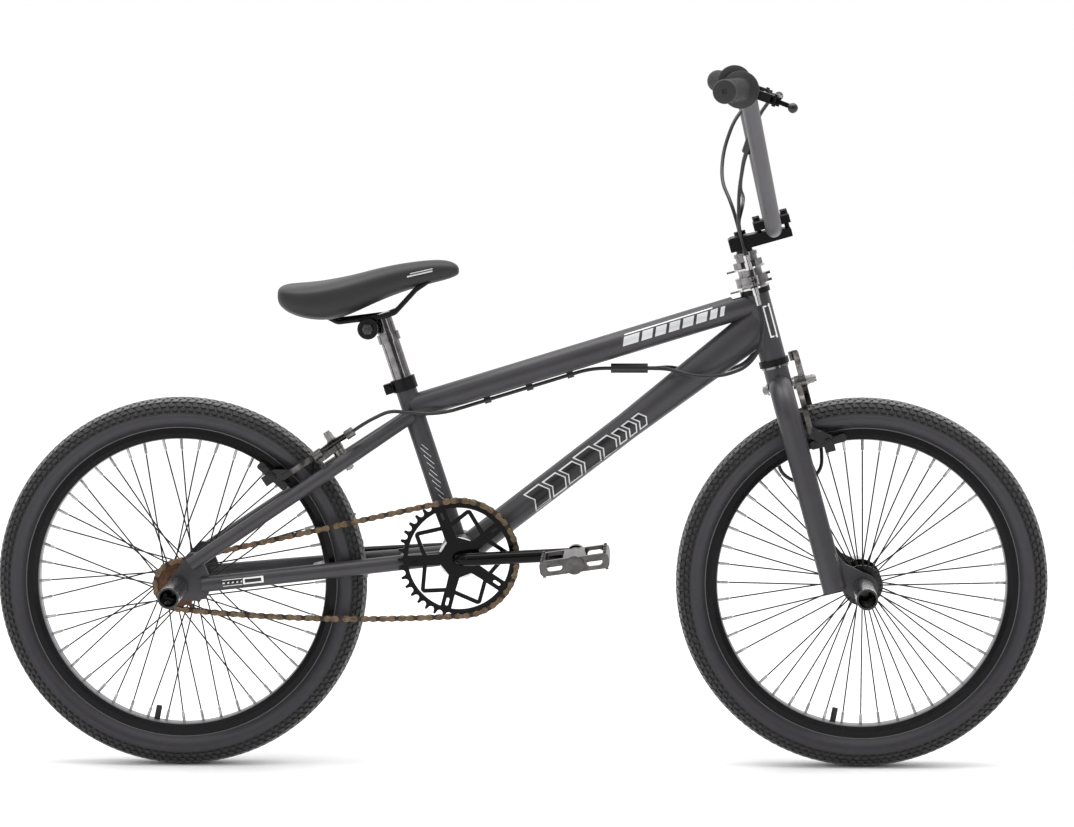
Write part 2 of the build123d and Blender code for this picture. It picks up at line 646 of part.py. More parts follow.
# ---------- stem and handlebar ----------
stem_low = 154.5
stem_high = 173.5
stem_front = 68.0
stem_back = -18.0
cap_low = bar_height + 3.0
cap_high = 187.0
cap_half = 25.0
bolt_spread = 19.0
bolt_side = 14.0
quill_end = 25.0
expander_radius = 4.2
bar_middle = Plane(origin=on_steer(stem_reach, 0, bar_height), x_dir=(1, 0, 0), z_dir=(0, -1, 0))
bolt_spots = [(stem_reach + a * bolt_spread, b * bolt_side) for a in (-1, 1) for b in (-1, 1)]
with BuildPart() as stem_body:
    with BuildSketch(Plane(origin=steer.origin, x_dir=steer.x_dir, z_dir=(0, -1, 0))) as outline:
        with BuildLine():
            FilletPolyline((stem_back, stem_low), (stem_front, stem_low + 1), (stem_front, bar_height - 4.5),
                           (stem_reach, bar_height - 1.5), (stem_back + 4, stem_high), (stem_back, stem_high - 2),
                           (stem_back, stem_low), radius=1.5)
        make_face()
    extrude(outline.sketch, amount=stem_half_width, both=True)
    disc(steer, quill_end, stem_low + 1, quill_radius)
    disc(steer, quill_end - 1, stem_high + 1, expander_radius + 0.1, mode=Mode.SUBTRACT)
    disc(bar_middle, -40, 40, bar_radius + clamp_fit, mode=Mode.SUBTRACT)
    with BuildSketch(steer.offset(stem_low - 1)) as holes:
        with Locations(*bolt_spots):
            Circle(3.1)
    extrude(holes.sketch, amount=30, mode=Mode.SUBTRACT)
stem_body.part.label = "stem_body"
export_step(stem_body.part, "parts/stem_body.step")

with BuildPart() as cap_plate:
    with BuildSketch(steer.offset(cap_low)) as outline:
        with Locations((stem_reach, 0)):
            RectangleRounded(2 * cap_half, 2 * stem_half_width, 2.5)
    extrude(outline.sketch, amount=cap_high - cap_low)
    disc(bar_middle, -40, 40, bar_radius + clamp_fit, mode=Mode.SUBTRACT)
    with BuildSketch(steer.offset(cap_low - 1)) as holes:
        with Locations(*bolt_spots):
            Circle(3.1)
    extrude(holes.sketch, amount=30, mode=Mode.SUBTRACT)
    chamfer(cap_plate.edges().filter_by(lambda e: abs(steer.to_local_coords(e.center()).Z - cap_high) < 0.01
                                        and e.geom_type == GeomType.LINE), 2.0)
with BuildPart() as stem_bolts:
    for x, y in bolt_spots:
        seat = Plane(origin=on_steer(x, y, 0), z_dir=steer.z_dir)
        disc(seat, stem_low + 2, cap_high, 3.0)
        disc(seat, cap_high, cap_high + 5, 4.9)
    disc(steer, quill_end - 14, stem_high + 0.2, expander_radius, cable_bore)
    disc(steer, stem_high + 0.2, stem_high + 5.5, 8.0, cable_bore)
    disc(steer, quill_end - 14, quill_end - 0.4, quill_radius - 0.2, expander_radius + 0.05)
stem_group = Compound(children=[cap_plate.part, stem_bolts.part])
stem_group.label = "stem_cap"
export_step(stem_group, "parts/stem_cap.step")

# Handlebar: centre, two uprights leaning out and back, two swept grip ends.
bar_centre = bar_middle.origin
upright_y = 45.0
shoulder_y = 182.0
upright_back = 39.5            # shoulder behind the clamp
upright_rise = 190.8
sweep_slope = 0.204            # grip ends run back this much for each millimetre outwards
bar_end_y = 332.0
grip_end_y = 336.0


def on_bar_end(y, hand):
    """A point on the straight grip end of the bar, y off the middle plane."""
    return Vector(bar_centre.X - upright_back - (y - shoulder_y) * sweep_slope, hand * y,
                  bar_centre.Z + upright_rise)


with BuildPart() as handlebar:
    with BuildLine() as bar_path:
        FilletPolyline(on_bar_end(bar_end_y, -1), on_bar_end(shoulder_y, -1),
                       Vector(bar_centre.X, -upright_y, bar_centre.Z), Vector(bar_centre.X, upright_y, bar_centre.Z),
                       on_bar_end(shoulder_y, 1), on_bar_end(bar_end_y, 1), radius=(45.0, 30.0, 30.0, 45.0))
    bar_start = Plane(origin=bar_path.line @ 0, z_dir=bar_path.line % 0)
    with BuildSketch(bar_start) as bar_face:
        Circle(bar_radius)
        Circle(bar_radius - 2.2, mode=Mode.SUBTRACT)
    sweep(bar_face.sketch, path=bar_path.line)
crossbar_share = 0.56          # crossbar's place up the uprights
crossbar_y = upright_y + (shoulder_y - upright_y) * crossbar_share
crossbar_x = bar_centre.X - upright_back * crossbar_share
crossbar_z = bar_centre.Z + upright_rise * crossbar_share
with BuildPart() as crossbar:
    rod((crossbar_x, -crossbar_y, crossbar_z), (crossbar_x, crossbar_y, crossbar_z), crossbar_radius,
        crossbar_radius - 1.5)
    for hand in (-1, 1):
        rod((bar_centre.X, hand * upright_y, bar_centre.Z), on_bar_end(shoulder_y, hand), bar_radius,
            mode=Mode.SUBTRACT)
bar_group = Compound(children=[handlebar.part, crossbar.part])
bar_group.label = "handlebar"
export_step(bar_group, "parts/handlebar.step")

grip_start_y = 224.5
with BuildPart() as handlebar_grips:
    for hand in (-1, 1):
        inner = on_bar_end(grip_start_y, hand)
        outer = on_bar_end(grip_end_y, hand)
        grip_line = Plane(origin=inner, z_dir=outer - inner)
        grip_long = (outer - inner).length
        disc(grip_line, 0, 4.0, grip_flange_radius)
        disc(grip_line, 4.0, grip_long, grip_radius)
        disc(grip_line, -1, grip_long - 3.4, bar_radius + 0.1, mode=Mode.SUBTRACT)
        disc(grip_line, grip_long - 5, grip_long + 1, 2.2, mode=Mode.SUBTRACT)
handlebar_grips.part.label = "handlebar_grips"
export_step(handlebar_grips.part, "parts/handlebar_grips.step")

# ---------- brake levers ----------
bracket_y = 212.0
bracket_half = 7.5
lever_droop = 19.0             # lever plane below level, going forward
pivot_ahead = 44.0
adjuster_ahead = 40.0
adjuster_start = 11.0          # inboard of the bracket's middle


def lever_plane(hand):
    """Origin on the bar inside the bracket, x forward and down to the lever, z square to the lever's swing."""
    return Plane(origin=on_bar_end(bracket_y, hand), x_dir=(cos(radians(lever_droop)), 0, -sin(radians(lever_droop))),
                 z_dir=(sin(radians(lever_droop)), 0, cos(radians(lever_droop))))


def build_bracket(hand):
    base = lever_plane(hand)
    bar_line = Plane(origin=base.origin, z_dir=on_bar_end(bracket_y + 10, hand) - on_bar_end(bracket_y, hand))
    with BuildPart() as bracket:
        disc(bar_line, -bracket_half, bracket_half, bar_radius + 5.0)
        with BuildSketch(base.offset(-6)) as body:
            with BuildLine():
                Polyline((6, -hand * 7), (38, -hand * 13), (51, -hand * 8), (51, hand * 10), (38, hand * 10),
                         (6, hand * 7), (6, -hand * 7))
            make_face()
        extrude(body.sketch, amount=12)
        with BuildSketch(base.offset(-3.3)) as fork_slot:
            with Locations((46, hand * 6)):
                Rectangle(17, 22)
        extrude(fork_slot.sketch, amount=6.6, mode=Mode.SUBTRACT)
        disc(bar_line, -25, 25, bar_radius + clamp_fit, mode=Mode.SUBTRACT)
        pin = Plane(origin=base.from_local_coords(Vector(pivot_ahead, hand * 3, 0)), z_dir=base.z_dir)
        disc(pin, -8, 8, 2.5)
        adjuster = Plane(origin=base.from_local_coords(Vector(adjuster_ahead, -hand * adjuster_start, 0)),
                         z_dir=(0, -hand, 0))
        disc(adjuster, -3, 12, 4.2)
        disc(adjuster, 12, 18, 5.4)
        disc(adjuster, 4, 19, cable_bore, mode=Mode.SUBTRACT)
    return bracket.part


def build_lever(hand):
    base = lever_plane(hand)
    pivot = (pivot_ahead, hand * 3)
    with BuildPart() as lever:
        with BuildSketch(base.offset(-3)) as blade:
            with BuildLine():
                Spline((pivot[0] - 6, hand * -1), (pivot[0] + 7, hand * 18), (pivot[0] + 17, hand * 48),
                       (pivot[0] + 18, hand * 102))
                Line((pivot[0] + 18, hand * 102), (pivot[0] + 24, hand * 102))
                Spline((pivot[0] + 24, hand * 102), (pivot[0] + 24, hand * 50), (pivot[0] + 16, hand * 16),
                       (pivot[0] + 6, hand * -2))
                Line((pivot[0] + 6, hand * -2), (pivot[0] - 6, hand * -1))
            make_face()
        extrude(blade.sketch, amount=6)
        with Locations(Location(base.from_local_coords(Vector(pivot[0] + 21, hand * 104, 0)))):
            Sphere(6.5)
        pin = Plane(origin=base.from_local_coords(Vector(pivot[0], pivot[1], 0)), z_dir=base.z_dir)
        disc(pin, -3, 3, 5.5)
        disc(pin, -8, 8, 2.56, mode=Mode.SUBTRACT)
    return lever.part


lever_brackets = Compound(children=[build_bracket(-1), build_bracket(1)])
lever_brackets.label = "lever_brackets"
export_step(lever_brackets, "parts/lever_brackets.step")
for lever_name, hand in (("right_brake_lever", -1), ("left_brake_lever", 1)):
    lever = build_lever(hand)
    lever.label = lever_name
    export_step(lever, f"parts/{lever_name}.step")

# ---------- calipers ----------
rim_gap = 2.2                  # brake block to rim, brake off
block_face = rim_half_width + rim_gap
arm_width = 10.0
arm_layer = 7.6
arm_side = 36.0
lug_ahead = 28.2               # cable line ahead of the plane through the pivot's mounting
upper_lug = 33.0
lower_lug = -19.0
lug_top = 5.5                  # lug's upper face above its middle, clear of the down tube at full lock
front_layer = 20.0             # where the first arm starts
rear_layer = 16.0
front_caliper = Plane(origin=on_steer(0, 0, -crown_drop), x_dir=steer.x_dir, z_dir=steer.z_dir)


def caliper_point(base, x, y, z):
    return base.from_local_coords(Vector(x, y, z))


def build_arm(base, first, lug_hand, block_hand, lug_height, reach, block_ahead, block_turn):
    """One caliper arm: bar from the block's side over the pivot to the cable lug, with its block and nut.

    base has x away from the frame and z along it. The pivot is at its origin.
    """
    flip = 1 if base.y_dir.Y > 0 else -1
    block_side = block_hand * flip
    lug_side = lug_hand * flip
    layer = Plane(origin=caliper_point(base, first, 0, 0), x_dir=base.y_dir, z_dir=base.x_dir)
    with BuildPart() as arm:
        with BuildSketch(layer) as bar_shape:
            with BuildLine():
                FilletPolyline((0, 0), (block_side * arm_side, -24), (block_side * arm_side, -reach + 12), radius=20)
            trace(line_width=arm_width)
        extrude(bar_shape.sketch, amount=arm_layer)
        with BuildSketch(layer) as lug_shape:
            with BuildLine():
                Line((0, 0), (lug_side * (lug_offset - 5), lug_height))
            trace(line_width=arm_width)
            Circle(9.0)
        extrude(lug_shape.sketch, amount=arm_layer)
        lug = Plane(origin=caliper_point(base, lug_ahead, lug_side * lug_offset, lug_height),
                    z_dir=base.z_dir)
        disc(lug, -7, lug_top, 6.5)
        disc(lug, -8, 8, cable_bore, mode=Mode.SUBTRACT)
        disc(Plane(origin=layer.origin, z_dir=base.x_dir), -1, arm_layer + 1, brake_bolt_radius + sliding_fit,
             mode=Mode.SUBTRACT)
        side = Plane(origin=caliper_point(base, 0, block_side * 31.5, 0), x_dir=base.x_dir,
                     z_dir=base.y_dir * block_side)
        with BuildSketch(side) as plate:
            along = 1 if (side.y_dir.dot(base.z_dir) > 0) else -1
            with BuildLine():
                Polyline((first, along * (-reach + 26)), (first + arm_layer, along * (-reach + 26)),
                         (block_ahead + 7, along * (-reach + 8)), (block_ahead + 7, along * (-reach - 13)),
                         (block_ahead - 7, along * (-reach - 13)), (block_ahead - 7, along * (-reach)),
                         (first, along * (-reach + 12)), (first, along * (-reach + 26)))
            make_face()
        extrude(plate.sketch, amount=6.0)
        post = Plane(origin=caliper_point(base, block_ahead, 0, -reach), z_dir=base.y_dir * block_side)
        disc(post, 30, 39, 3.2, mode=Mode.SUBTRACT)
    with BuildPart() as block:
        turn = block_turn
        post = Plane(origin=caliper_point(base, block_ahead, 0, -reach), z_dir=base.y_dir * block_side)
        shoe = Plane(origin=post.origin, z_dir=post.z_dir,
                     x_dir=base.x_dir * cos(radians(turn)) + base.z_dir * sin(radians(turn)))
        with BuildSketch(shoe.offset(block_face)) as rubber:
            RectangleRounded(50, 11, 4)
        extrude(rubber.sketch, amount=8)
        with BuildSketch(shoe.offset(block_face + 8)) as holder:
            RectangleRounded(34, 9, 3)
        extrude(holder.sketch, amount=3)
        disc(post, block_face + 10.9, 45, 3.1)
        hexagon(post, 37.6, 43, 10.0)
    return Compound(children=[arm.part, block.part])


def build_brake_bolt(base, back, seat_face, layer):
    """Centre bolt with its washers and nuts, and the return spring behind the arms."""
    turn = Plane(origin=base.origin, z_dir=base.x_dir)
    with BuildPart() as bolt:
        front = layer + 2 * arm_layer + 0.7
        disc(turn, -back - 8, front + 13, brake_bolt_radius)
        disc(turn, -back - 1.5, -back, 8.0, brake_bolt_radius + 0.02)
        hexagon(turn, -back - 7.0, -back - 1.6, 10.0, brake_bolt_radius + 0.02)
        disc(turn, seat_face, layer - 0.3, 8.5, brake_bolt_radius + 0.02)
        disc(turn, front, front + 1.2, 7.0, brake_bolt_radius + 0.02)
        hexagon(turn, front + 1.3, front + 5.5, 10.0, brake_bolt_radius + 0.02)
        hexagon(turn, front + 5.7, front + 10.0, 10.0, brake_bolt_radius + 0.02)
        disc(turn, front + 10.1, front + 13.6, 4.8, brake_bolt_radius + 0.02)
    return bolt.part


front_seat = crown_base_radius + 0.1
rear_seat = rear_brake_boss + 0.1
rear_block_turn = -14.6        # rear blocks lie along the rim
# name, plane, cable's side, mounting face, first layer, reach, block ahead, block turn, back of the mounting
for end_name, base, lug_hand, seat_face, layer, reach, ahead, turn, back in (
        ("front", front_caliper, 1, front_seat, front_layer, caliper_reach_front, shoe_offset_front, 0.0,
         crown_base_radius),
        ("rear", rear_caliper, -1, rear_seat, rear_layer, caliper_reach_rear, shoe_offset_rear, rear_block_turn,
         rear_brake_boss)):
    outer_layer = layer + arm_layer + 0.4
    arms = {lug_hand: build_arm(base, outer_layer, lug_hand, lug_hand, upper_lug, reach, ahead, turn),
            -lug_hand: build_arm(base, layer, lug_hand, -lug_hand, lower_lug, reach, ahead, turn)}
    for side_name, hand in (("left", 1), ("right", -1)):
        arms[hand].label = f"{end_name}_brake_arm_{side_name}"
        export_step(arms[hand], f"parts/{end_name}_brake_arm_{side_name}.step")
    brake_bolt = build_brake_bolt(base, back + 0.1, seat_face, layer)
    brake_bolt.label = f"{end_name}_brake_bolt"
    export_step(brake_bolt, f"parts/{end_name}_brake_bolt.step")

# ---------- chain and sprockets ----------
ring_circle = pitch / 2 / sin(pi / ring_teeth)      # radius of the roller centres on each sprocket
cog_circle = pitch / 2 / sin(pi / cog_teeth)
rise_angle = degrees(asin((bracket_height - tyre_radius) / chain_stay_length))
narrowing = degrees(asin((ring_circle - cog_circle) / chain_stay_length))
ring_top_angle = rise_angle + 90 + narrowing        # where the upper run leaves the chainring
ring_step = 360 / ring_teeth
cog_step = 360 / cog_teeth
run_links = 30
ring_links = 21
cog_links = 7
cog_centre = Vector(rear_x - bracket_x, tyre_radius - bracket_height)
drive_side = bracket_side.offset(chain_line)


def polar(radius, angle):
    return Vector(radius * cos(radians(angle)), radius * sin(radians(angle)))


# Upper run: straight from the chainring's tangent point to a tooth gap on the freewheel.
run_start = polar(ring_circle, ring_top_angle)
to_start = run_start - cog_centre
opening = (to_start.length**2 + cog_circle**2 - (run_links * pitch)**2) / (2 * to_start.length * cog_circle)
cog_top_angle = degrees(atan2(to_start.Y, to_start.X)) + degrees(acos(opening))
run_end = cog_centre + polar(cog_circle, cog_top_angle)
rollers = [run_start + (run_end - run_start) * (step / run_links) for step in range(run_links)]
rollers += [cog_centre + polar(cog_circle, cog_top_angle + cog_step * step) for step in range(cog_links + 1)]

# Lower run: the same number of links hang in a shallow arc from the freewheel back to the chainring.
hang_start = rollers[-1]
hang_end = polar(ring_circle, ring_top_angle - ring_step * ring_links)
hang = hang_end - hang_start
low_bend, high_bend = 0.0001, 0.05
for halving in range(60):
    bend = (low_bend + high_bend) / 2
    if sin(run_links * bend / 2) / sin(bend / 2) > hang.length / pitch:
        low_bend = bend
    else:
        high_bend = bend
heading = atan2(hang.Y, hang.X) - (run_links - 1) * bend / 2
spot = hang_start
for step in range(run_links - 1):
    spot = spot + Vector(cos(heading + bend * step), sin(heading + bend * step)) * pitch
    rollers.append(spot)
rollers += [polar(ring_circle, ring_top_angle - ring_step * (ring_links - step)) for step in range(ring_links)]

plate_width = 8.8
plate_thickness = 1.0
inner_plate = 1.9              # inner faces of the inner plates, off the chain's middle
outer_plate = 3.1
pin_radius = 1.8
with BuildPart() as inner_link:
    for side in (-1, 1):
        with BuildSketch(Plane.XY.offset(side * inner_plate)) as plate:
            SlotCenterToCenter(pitch, plate_width)
        extrude(plate.sketch, amount=side * plate_thickness)
    for end in (-1, 1):
        disc(Plane(origin=(end * pitch / 2, 0, 0)), -inner_plate, inner_plate, roller_radius)
        disc(Plane(origin=(end * pitch / 2, 0, 0)), -5, 5, pin_radius + 0.08, mode=Mode.SUBTRACT)
with BuildPart() as outer_link:
    for side in (-1, 1):
        with BuildSketch(Plane.XY.offset(side * outer_plate)) as plate:
            SlotCenterToCenter(pitch, plate_width)
        extrude(plate.sketch, amount=side * plate_thickness)
    for end in (-1, 1):
        disc(Plane(origin=(end * pitch / 2, 0, 0)), -outer_plate - plate_thickness - 0.5,
             outer_plate + plate_thickness + 0.5, pin_radius)


def link_place(first, second):
    """Where one link lies, between two roller centres."""
    middle = (first + second) / 2
    along = second - first
    spot = drive_side.from_local_coords(Vector(middle.X, middle.Y, 0))
    return Plane(origin=spot, x_dir=(along.X, 0, along.Y), z_dir=drive_side.z_dir).location


link_count = len(rollers)
inner_links = [inner_link.part.moved(link_place(rollers[n], rollers[(n + 1) % link_count]))
               for n in range(0, link_count, 2)]
outer_links = [outer_link.part.moved(link_place(rollers[n], rollers[(n + 1) % link_count]))
               for n in range(1, link_count, 2)]
print("chain links:", link_count)
for group_name, links in (("chain_inner_links", inner_links), ("chain_outer_links", outer_links)):
    group = Compound(children=links)
    group.label = group_name
    export_step(group, f"parts/{group_name}.step")


def toothed_disc(teeth, circle, phase):
    """A sprocket's outline with a rounded seat for each roller."""
    with BuildSketch() as face:
        Circle(circle + 3.4)
        with PolarLocations(circle, teeth, start_angle=phase):
            Circle(seat_radius, mode=Mode.SUBTRACT)
            Polygon((0, -4.15), (2.0, -4.9), (5.5, -6.2), (5.5, 6.2), (2.0, 4.9), (0, 4.15), align=None,
                    mode=Mode.SUBTRACT)
    return face.sketch


arm_angles = [39 + 72 * turn for turn in range(5)]
with BuildSketch() as windows:
    for turn in range(5):
        middle = 3 + 72 * turn
        corners = [polar(radius, middle + swing)
                   for radius, swing in ((26, -19), (44, -27), (62, 3), (44, 27), (26, 19))]
        Polygon(*[(corner.X, corner.Y) for corner in corners], align=None)
with BuildSketch() as outer_windows:
    Circle(69)
    Circle(46, mode=Mode.SUBTRACT)
    for angle in arm_angles:
        Rectangle(80, 15, rotation=angle, align=(Align.MIN, Align.CENTER), mode=Mode.SUBTRACT)
    add(offset(windows.sketch, amount=5.5, mode=Mode.PRIVATE), mode=Mode.SUBTRACT)
with BuildPart() as chainring:
    with BuildSketch(drive_side.offset(-tooth_thickness / 2)) as ring_face:
        add(toothed_disc(ring_teeth, ring_circle, ring_top_angle))
        add(windows.sketch, mode=Mode.SUBTRACT)
        add(outer_windows.sketch, mode=Mode.SUBTRACT)
        for angle in arm_angles:
            slot_place = polar(61, angle)
            with Locations((slot_place.X, slot_place.Y)):
                SlotOverall(11, 4, rotation=angle, mode=Mode.SUBTRACT)
        Circle(crank_radius + 0.15, mode=Mode.SUBTRACT)
    extrude(ring_face.sketch, amount=tooth_thickness)
chainring.part.label = "chainring"
export_step(chainring.part, "parts/chainring.step")

hub_boss_radius = 16.5
freewheel_radius = 24.0
freewheel_inner = 37.0
freewheel_outer = 49.5
with BuildPart() as freewheel:
    with BuildSketch(rear_side.offset(chain_line - tooth_thickness / 2)) as cog_face:
        add(toothed_disc(cog_teeth, cog_circle, cog_top_angle))
    extrude(cog_face.sketch, amount=tooth_thickness)
    disc(rear_side, freewheel_inner, freewheel_outer, freewheel_radius)
    disc(rear_side, freewheel_outer, freewheel_outer + 1.4, freewheel_radius - 2.5)
    disc(rear_side, freewheel_inner - 1, freewheel_outer + 2, hub_boss_radius + 0.5, mode=Mode.SUBTRACT)
freewheel.part.label = "freewheel"
export_step(freewheel.part, "parts/freewheel.step")

# ---------- cranks and pedals ----------
cup_insert = 8.0
cone_radius = 16.0
crank_rise = Vector(cos(radians(crank_angle)), 0, sin(radians(crank_angle)))
bracket_centre = Vector(bracket_x, 0, bracket_height)
crank_corner = 60.0            # where an arm's line meets the spindle's


def crank_end(hand, y):
    """The pedal end of an arm: the right one points forward."""
    return bracket_centre + crank_rise * (-hand * crank_length) + Vector(0, hand * y, 0)


with BuildPart() as bottom_bracket_cups:
    for hand in (-1, 1):
        cup_line = Plane(origin=bracket_centre, x_dir=(1, 0, 0), z_dir=(0, hand, 0))
        disc(cup_line, shell_half_width - cup_insert, shell_half_width, shell_bore - 0.05, cone_radius + 0.4)
        disc(cup_line, shell_half_width, shell_half_width + 2.4, shell_radius - 0.4, cone_radius + 0.4)
bottom_bracket_cups.part.label = "bottom_bracket_cups"
export_step(bottom_bracket_cups.part, "parts/bottom_bracket_cups.step")

with BuildPart() as crank:
    with BuildLine() as crank_path:
        FilletPolyline(crank_end(1, pedal_reach), bracket_centre + Vector(0, crank_corner, 0),
                       bracket_centre - Vector(0, crank_corner, 0), crank_end(-1, pedal_reach), radius=18.0)
    with BuildSketch(Plane(origin=crank_path.line @ 0, z_dir=crank_path.line % 0)) as arm_face:
        Circle(crank_radius)
    sweep(arm_face.sketch, path=crank_path.line)
    disc(bracket_side, -37, 37, 11.0)
    disc(bracket_side, 28, 39.5, cone_radius)
    disc(bracket_side, 39.5, 42.3, 12.5)
    disc(bracket_side, -39.5, -28, cone_radius)
    disc(bracket_side, -43.5, -39.5, 14.0)
    for hand in (-1, 1):
        pedal_line = Plane(origin=crank_end(hand, 0), x_dir=(1, 0, 0), z_dir=(0, hand, 0))
        disc(pedal_line, pedal_reach - 7, pedal_reach + 7, 13.0)
        disc(pedal_line, pedal_reach + 6, pedal_inner - 0.5, 9.0)
        disc(pedal_line, pedal_reach, pedal_inner + pedal_width - 5, 6.0)
crank.part.label = "crank"
export_step(crank.part, "parts/crank.step")

window_near = 14.0             # pedal windows, off the spindle
window_far = 39.0
barrel_radius = 11.0
pedal_wall = 8.0


def build_pedal(hand, tilt):
    base = Plane(origin=crank_end(hand, pedal_inner), x_dir=(cos(radians(tilt)), 0, sin(radians(tilt))),
                 z_dir=(0, hand, 0))
    flat = Plane(origin=base.origin, x_dir=base.x_dir, z_dir=base.y_dir)
    inward = -1 if flat.y_dir.dot(base.z_dir) < 0 else 1
    with BuildPart() as pedal:
        with BuildSketch(base) as cage:
            RectangleRounded(pedal_length, pedal_height, 6.0)
        extrude(cage.sketch, amount=pedal_width)
        with BuildSketch(flat) as openings:
            for side in (-1, 1):
                with Locations((side * (window_near + window_far) / 2, inward * pedal_width / 2)):
                    RectangleRounded(window_far - window_near, pedal_width - 2 * pedal_wall, 4)
        extrude(openings.sketch, amount=pedal_height, both=True, mode=Mode.SUBTRACT)
        with BuildSketch(base) as slots:
            for side in (-1, 1):
                with Locations((side * (window_near + window_far) / 2, 0)):
                    SlotOverall(window_far - window_near - 4, pedal_height / 2)
        extrude(slots.sketch, amount=pedal_width, mode=Mode.SUBTRACT)
        disc(base, 0, pedal_width, barrel_radius)
        disc(base, pedal_width, pedal_width + 4, barrel_radius + 1.3)
        disc(base, -1, pedal_width - 4, 6.4, mode=Mode.SUBTRACT)
        for face in (-1, 1):
            with BuildSketch(flat.offset(face * (pedal_height / 2 - 1))) as pins:
                with Locations((0, inward * pedal_width / 2)):
                    with GridLocations(pedal_length - 9, 24, 2, 4):
                        Circle(2.0)
            extrude(pins.sketch, amount=face * 3.6)
    return pedal.part


for pedal_name, hand, tilt in (("right_pedal", -1, right_pedal_tilt), ("left_pedal", 1, left_pedal_tilt)):
    pedal = build_pedal(hand, tilt)
    pedal.label = pedal_name
    export_step(pedal, f"parts/{pedal_name}.step")

# ---------- seat ----------
collar_low = 236.0
collar_high = 253.0
collar_radius = 17.0
with BuildPart() as collar:
    disc(seat_axis, collar_low, collar_high, collar_radius)
    with BuildSketch(seat_axis.offset(collar_low + 1.5)) as ears:
        with Locations((-20, 0)):
            Rectangle(15, 15)
    extrude(ears.sketch, amount=collar_high - collar_low - 3)
    with BuildSketch(seat_axis.offset(collar_low)) as split:
        with Locations((-22, 0)):
            Rectangle(24, 2.4)
    extrude(split.sketch, amount=collar_high - collar_low, mode=Mode.SUBTRACT)
    disc(seat_axis, collar_low - 1, seat_tube_length + 0.2, seat_tube_radius + sliding_fit, mode=Mode.SUBTRACT)
    disc(seat_axis, seat_tube_length, collar_high + 1, seat_post_radius + 0.3, mode=Mode.SUBTRACT)
    pinch = Plane(origin=on_seat(-22.5, 0, (collar_low + collar_high) / 2), z_dir=(0, 1, 0))
    disc(pinch, -20, 20, 3.0, mode=Mode.SUBTRACT)
with BuildPart() as pinch_bolt:
    disc(pinch, -12.5, 12.5, 2.9)
    disc(pinch, -13, -7.7, 4.8)
    hexagon(pinch, 7.7, 12, 9.0)
clamp_group = Compound(children=[collar.part, pinch_bolt.part])
clamp_group.label = "seat_clamp"
export_step(clamp_group, "parts/seat_clamp.step")

post_low = 120.0
post_high = 345.0
saddle_bolt_back = -20.6       # saddle's cross bolt, behind the post's axis and up it
saddle_bolt_rise = 332.0
cross_bolt_radius = 4.0
rail_side = 22.0
rail_radius = 3.5
washer_radius = 14.0
saddle_pivot = on_seat(saddle_bolt_back, 0, saddle_bolt_rise)
saddle_line = Plane(origin=saddle_pivot, x_dir=(1, 0, 0), z_dir=(0, -1, 0))
with BuildPart() as seat_post:
    disc(seat_axis, post_low, post_high, seat_post_radius)
    disc(seat_axis, post_high - 40, post_high - 28, 15.2)
    disc(saddle_line, -11.8, 11.8, 12.5)
    disc(seat_axis, post_low - 1, post_high - 36, seat_post_radius - 1.8, mode=Mode.SUBTRACT)
    disc(saddle_line, -37, 37, cross_bolt_radius)
    for side in (-1, 1):
        nut_line = Plane(origin=saddle_pivot, x_dir=(1, 0, 0), z_dir=(0, side, 0))
        hexagon(nut_line, 32.0, 38.5, 13.0)
seat_post.part.label = "seat_post"
export_step(seat_post.part, "parts/seat_post.step")

with BuildPart() as saddle_clamp:
    for side in (-1, 1):
        plate_line = Plane(origin=saddle_pivot, x_dir=(1, 0, 0), z_dir=(0, side, 0))
        disc(plate_line, 12.1, rail_side - rail_radius - 0.1, washer_radius)
        disc(plate_line, rail_side - rail_radius - 0.1, rail_side + rail_radius + 0.1, 9.0)
        disc(plate_line, rail_side + rail_radius + 0.1, 31.7, washer_radius)
        disc(plate_line, 12, 32, cross_bolt_radius + 0.06, mode=Mode.SUBTRACT)
saddle_clamp.part.label = "saddle_clamp"
export_step(saddle_clamp.part, "parts/saddle_clamp.step")

rail_points = [(-122, 13, 664), (-141, 17, 651), (-169, rail_side, 620.5), (-184, rail_side, 615.3),
               (-246, rail_side, 607.5), (-274, rail_side + 3, 622)]
with BuildPart() as saddle_rails:
    for side in (-1, 1):
        with BuildLine() as rail_path:
            FilletPolyline(*[Vector(x, side * y, z) for x, y, z in rail_points], radius=12.0)
        with BuildSketch(Plane(origin=rail_path.line @ 0, z_dir=rail_path.line % 0)) as rail_face:
            Circle(rail_radius)
        sweep(rail_face.sketch, path=rail_path.line)
saddle_rails.part.label = "saddle_rails"
export_step(saddle_rails.part, "parts/saddle_rails.step")

# Cushion sections from tail to nose: place, half width, top, underside.
cushion_sections = [(-327, 34, 647.5, 639), (-312, 58, 652, 627), (-286, 66, 659, 614), (-258, 62, 666, 609.5),
                    (-228, 47, 672, 619.5), (-195, 33, 678.5, 634), (-160, 25, 684.5, 648), (-125, 21, 689, 657),
                    (-100, 18, 689, 663), (-86, 10, 681, 668.5)]
with BuildPart() as saddle_cushion:
    for x, half_width, top, underside in cushion_sections:
        with BuildSketch(Plane(origin=(x, 0, (top + underside) / 2), x_dir=(0, 1, 0), z_dir=(1, 0, 0))) as section:
            RectangleRounded(2 * half_width, top - underside, (top - underside) * 0.46)
    loft()
saddle_cushion.part.label = "saddle_cushion"
export_step(saddle_cushion.part, "parts/saddle_cushion.step")

# ---------- cables ----------


def barrel_point(hand, along):
    """A point on the line of a lever's cable adjuster, inboard of its foot."""
    return lever_plane(hand).from_local_coords(Vector(adjuster_ahead, -hand * (adjuster_start + along), 0))


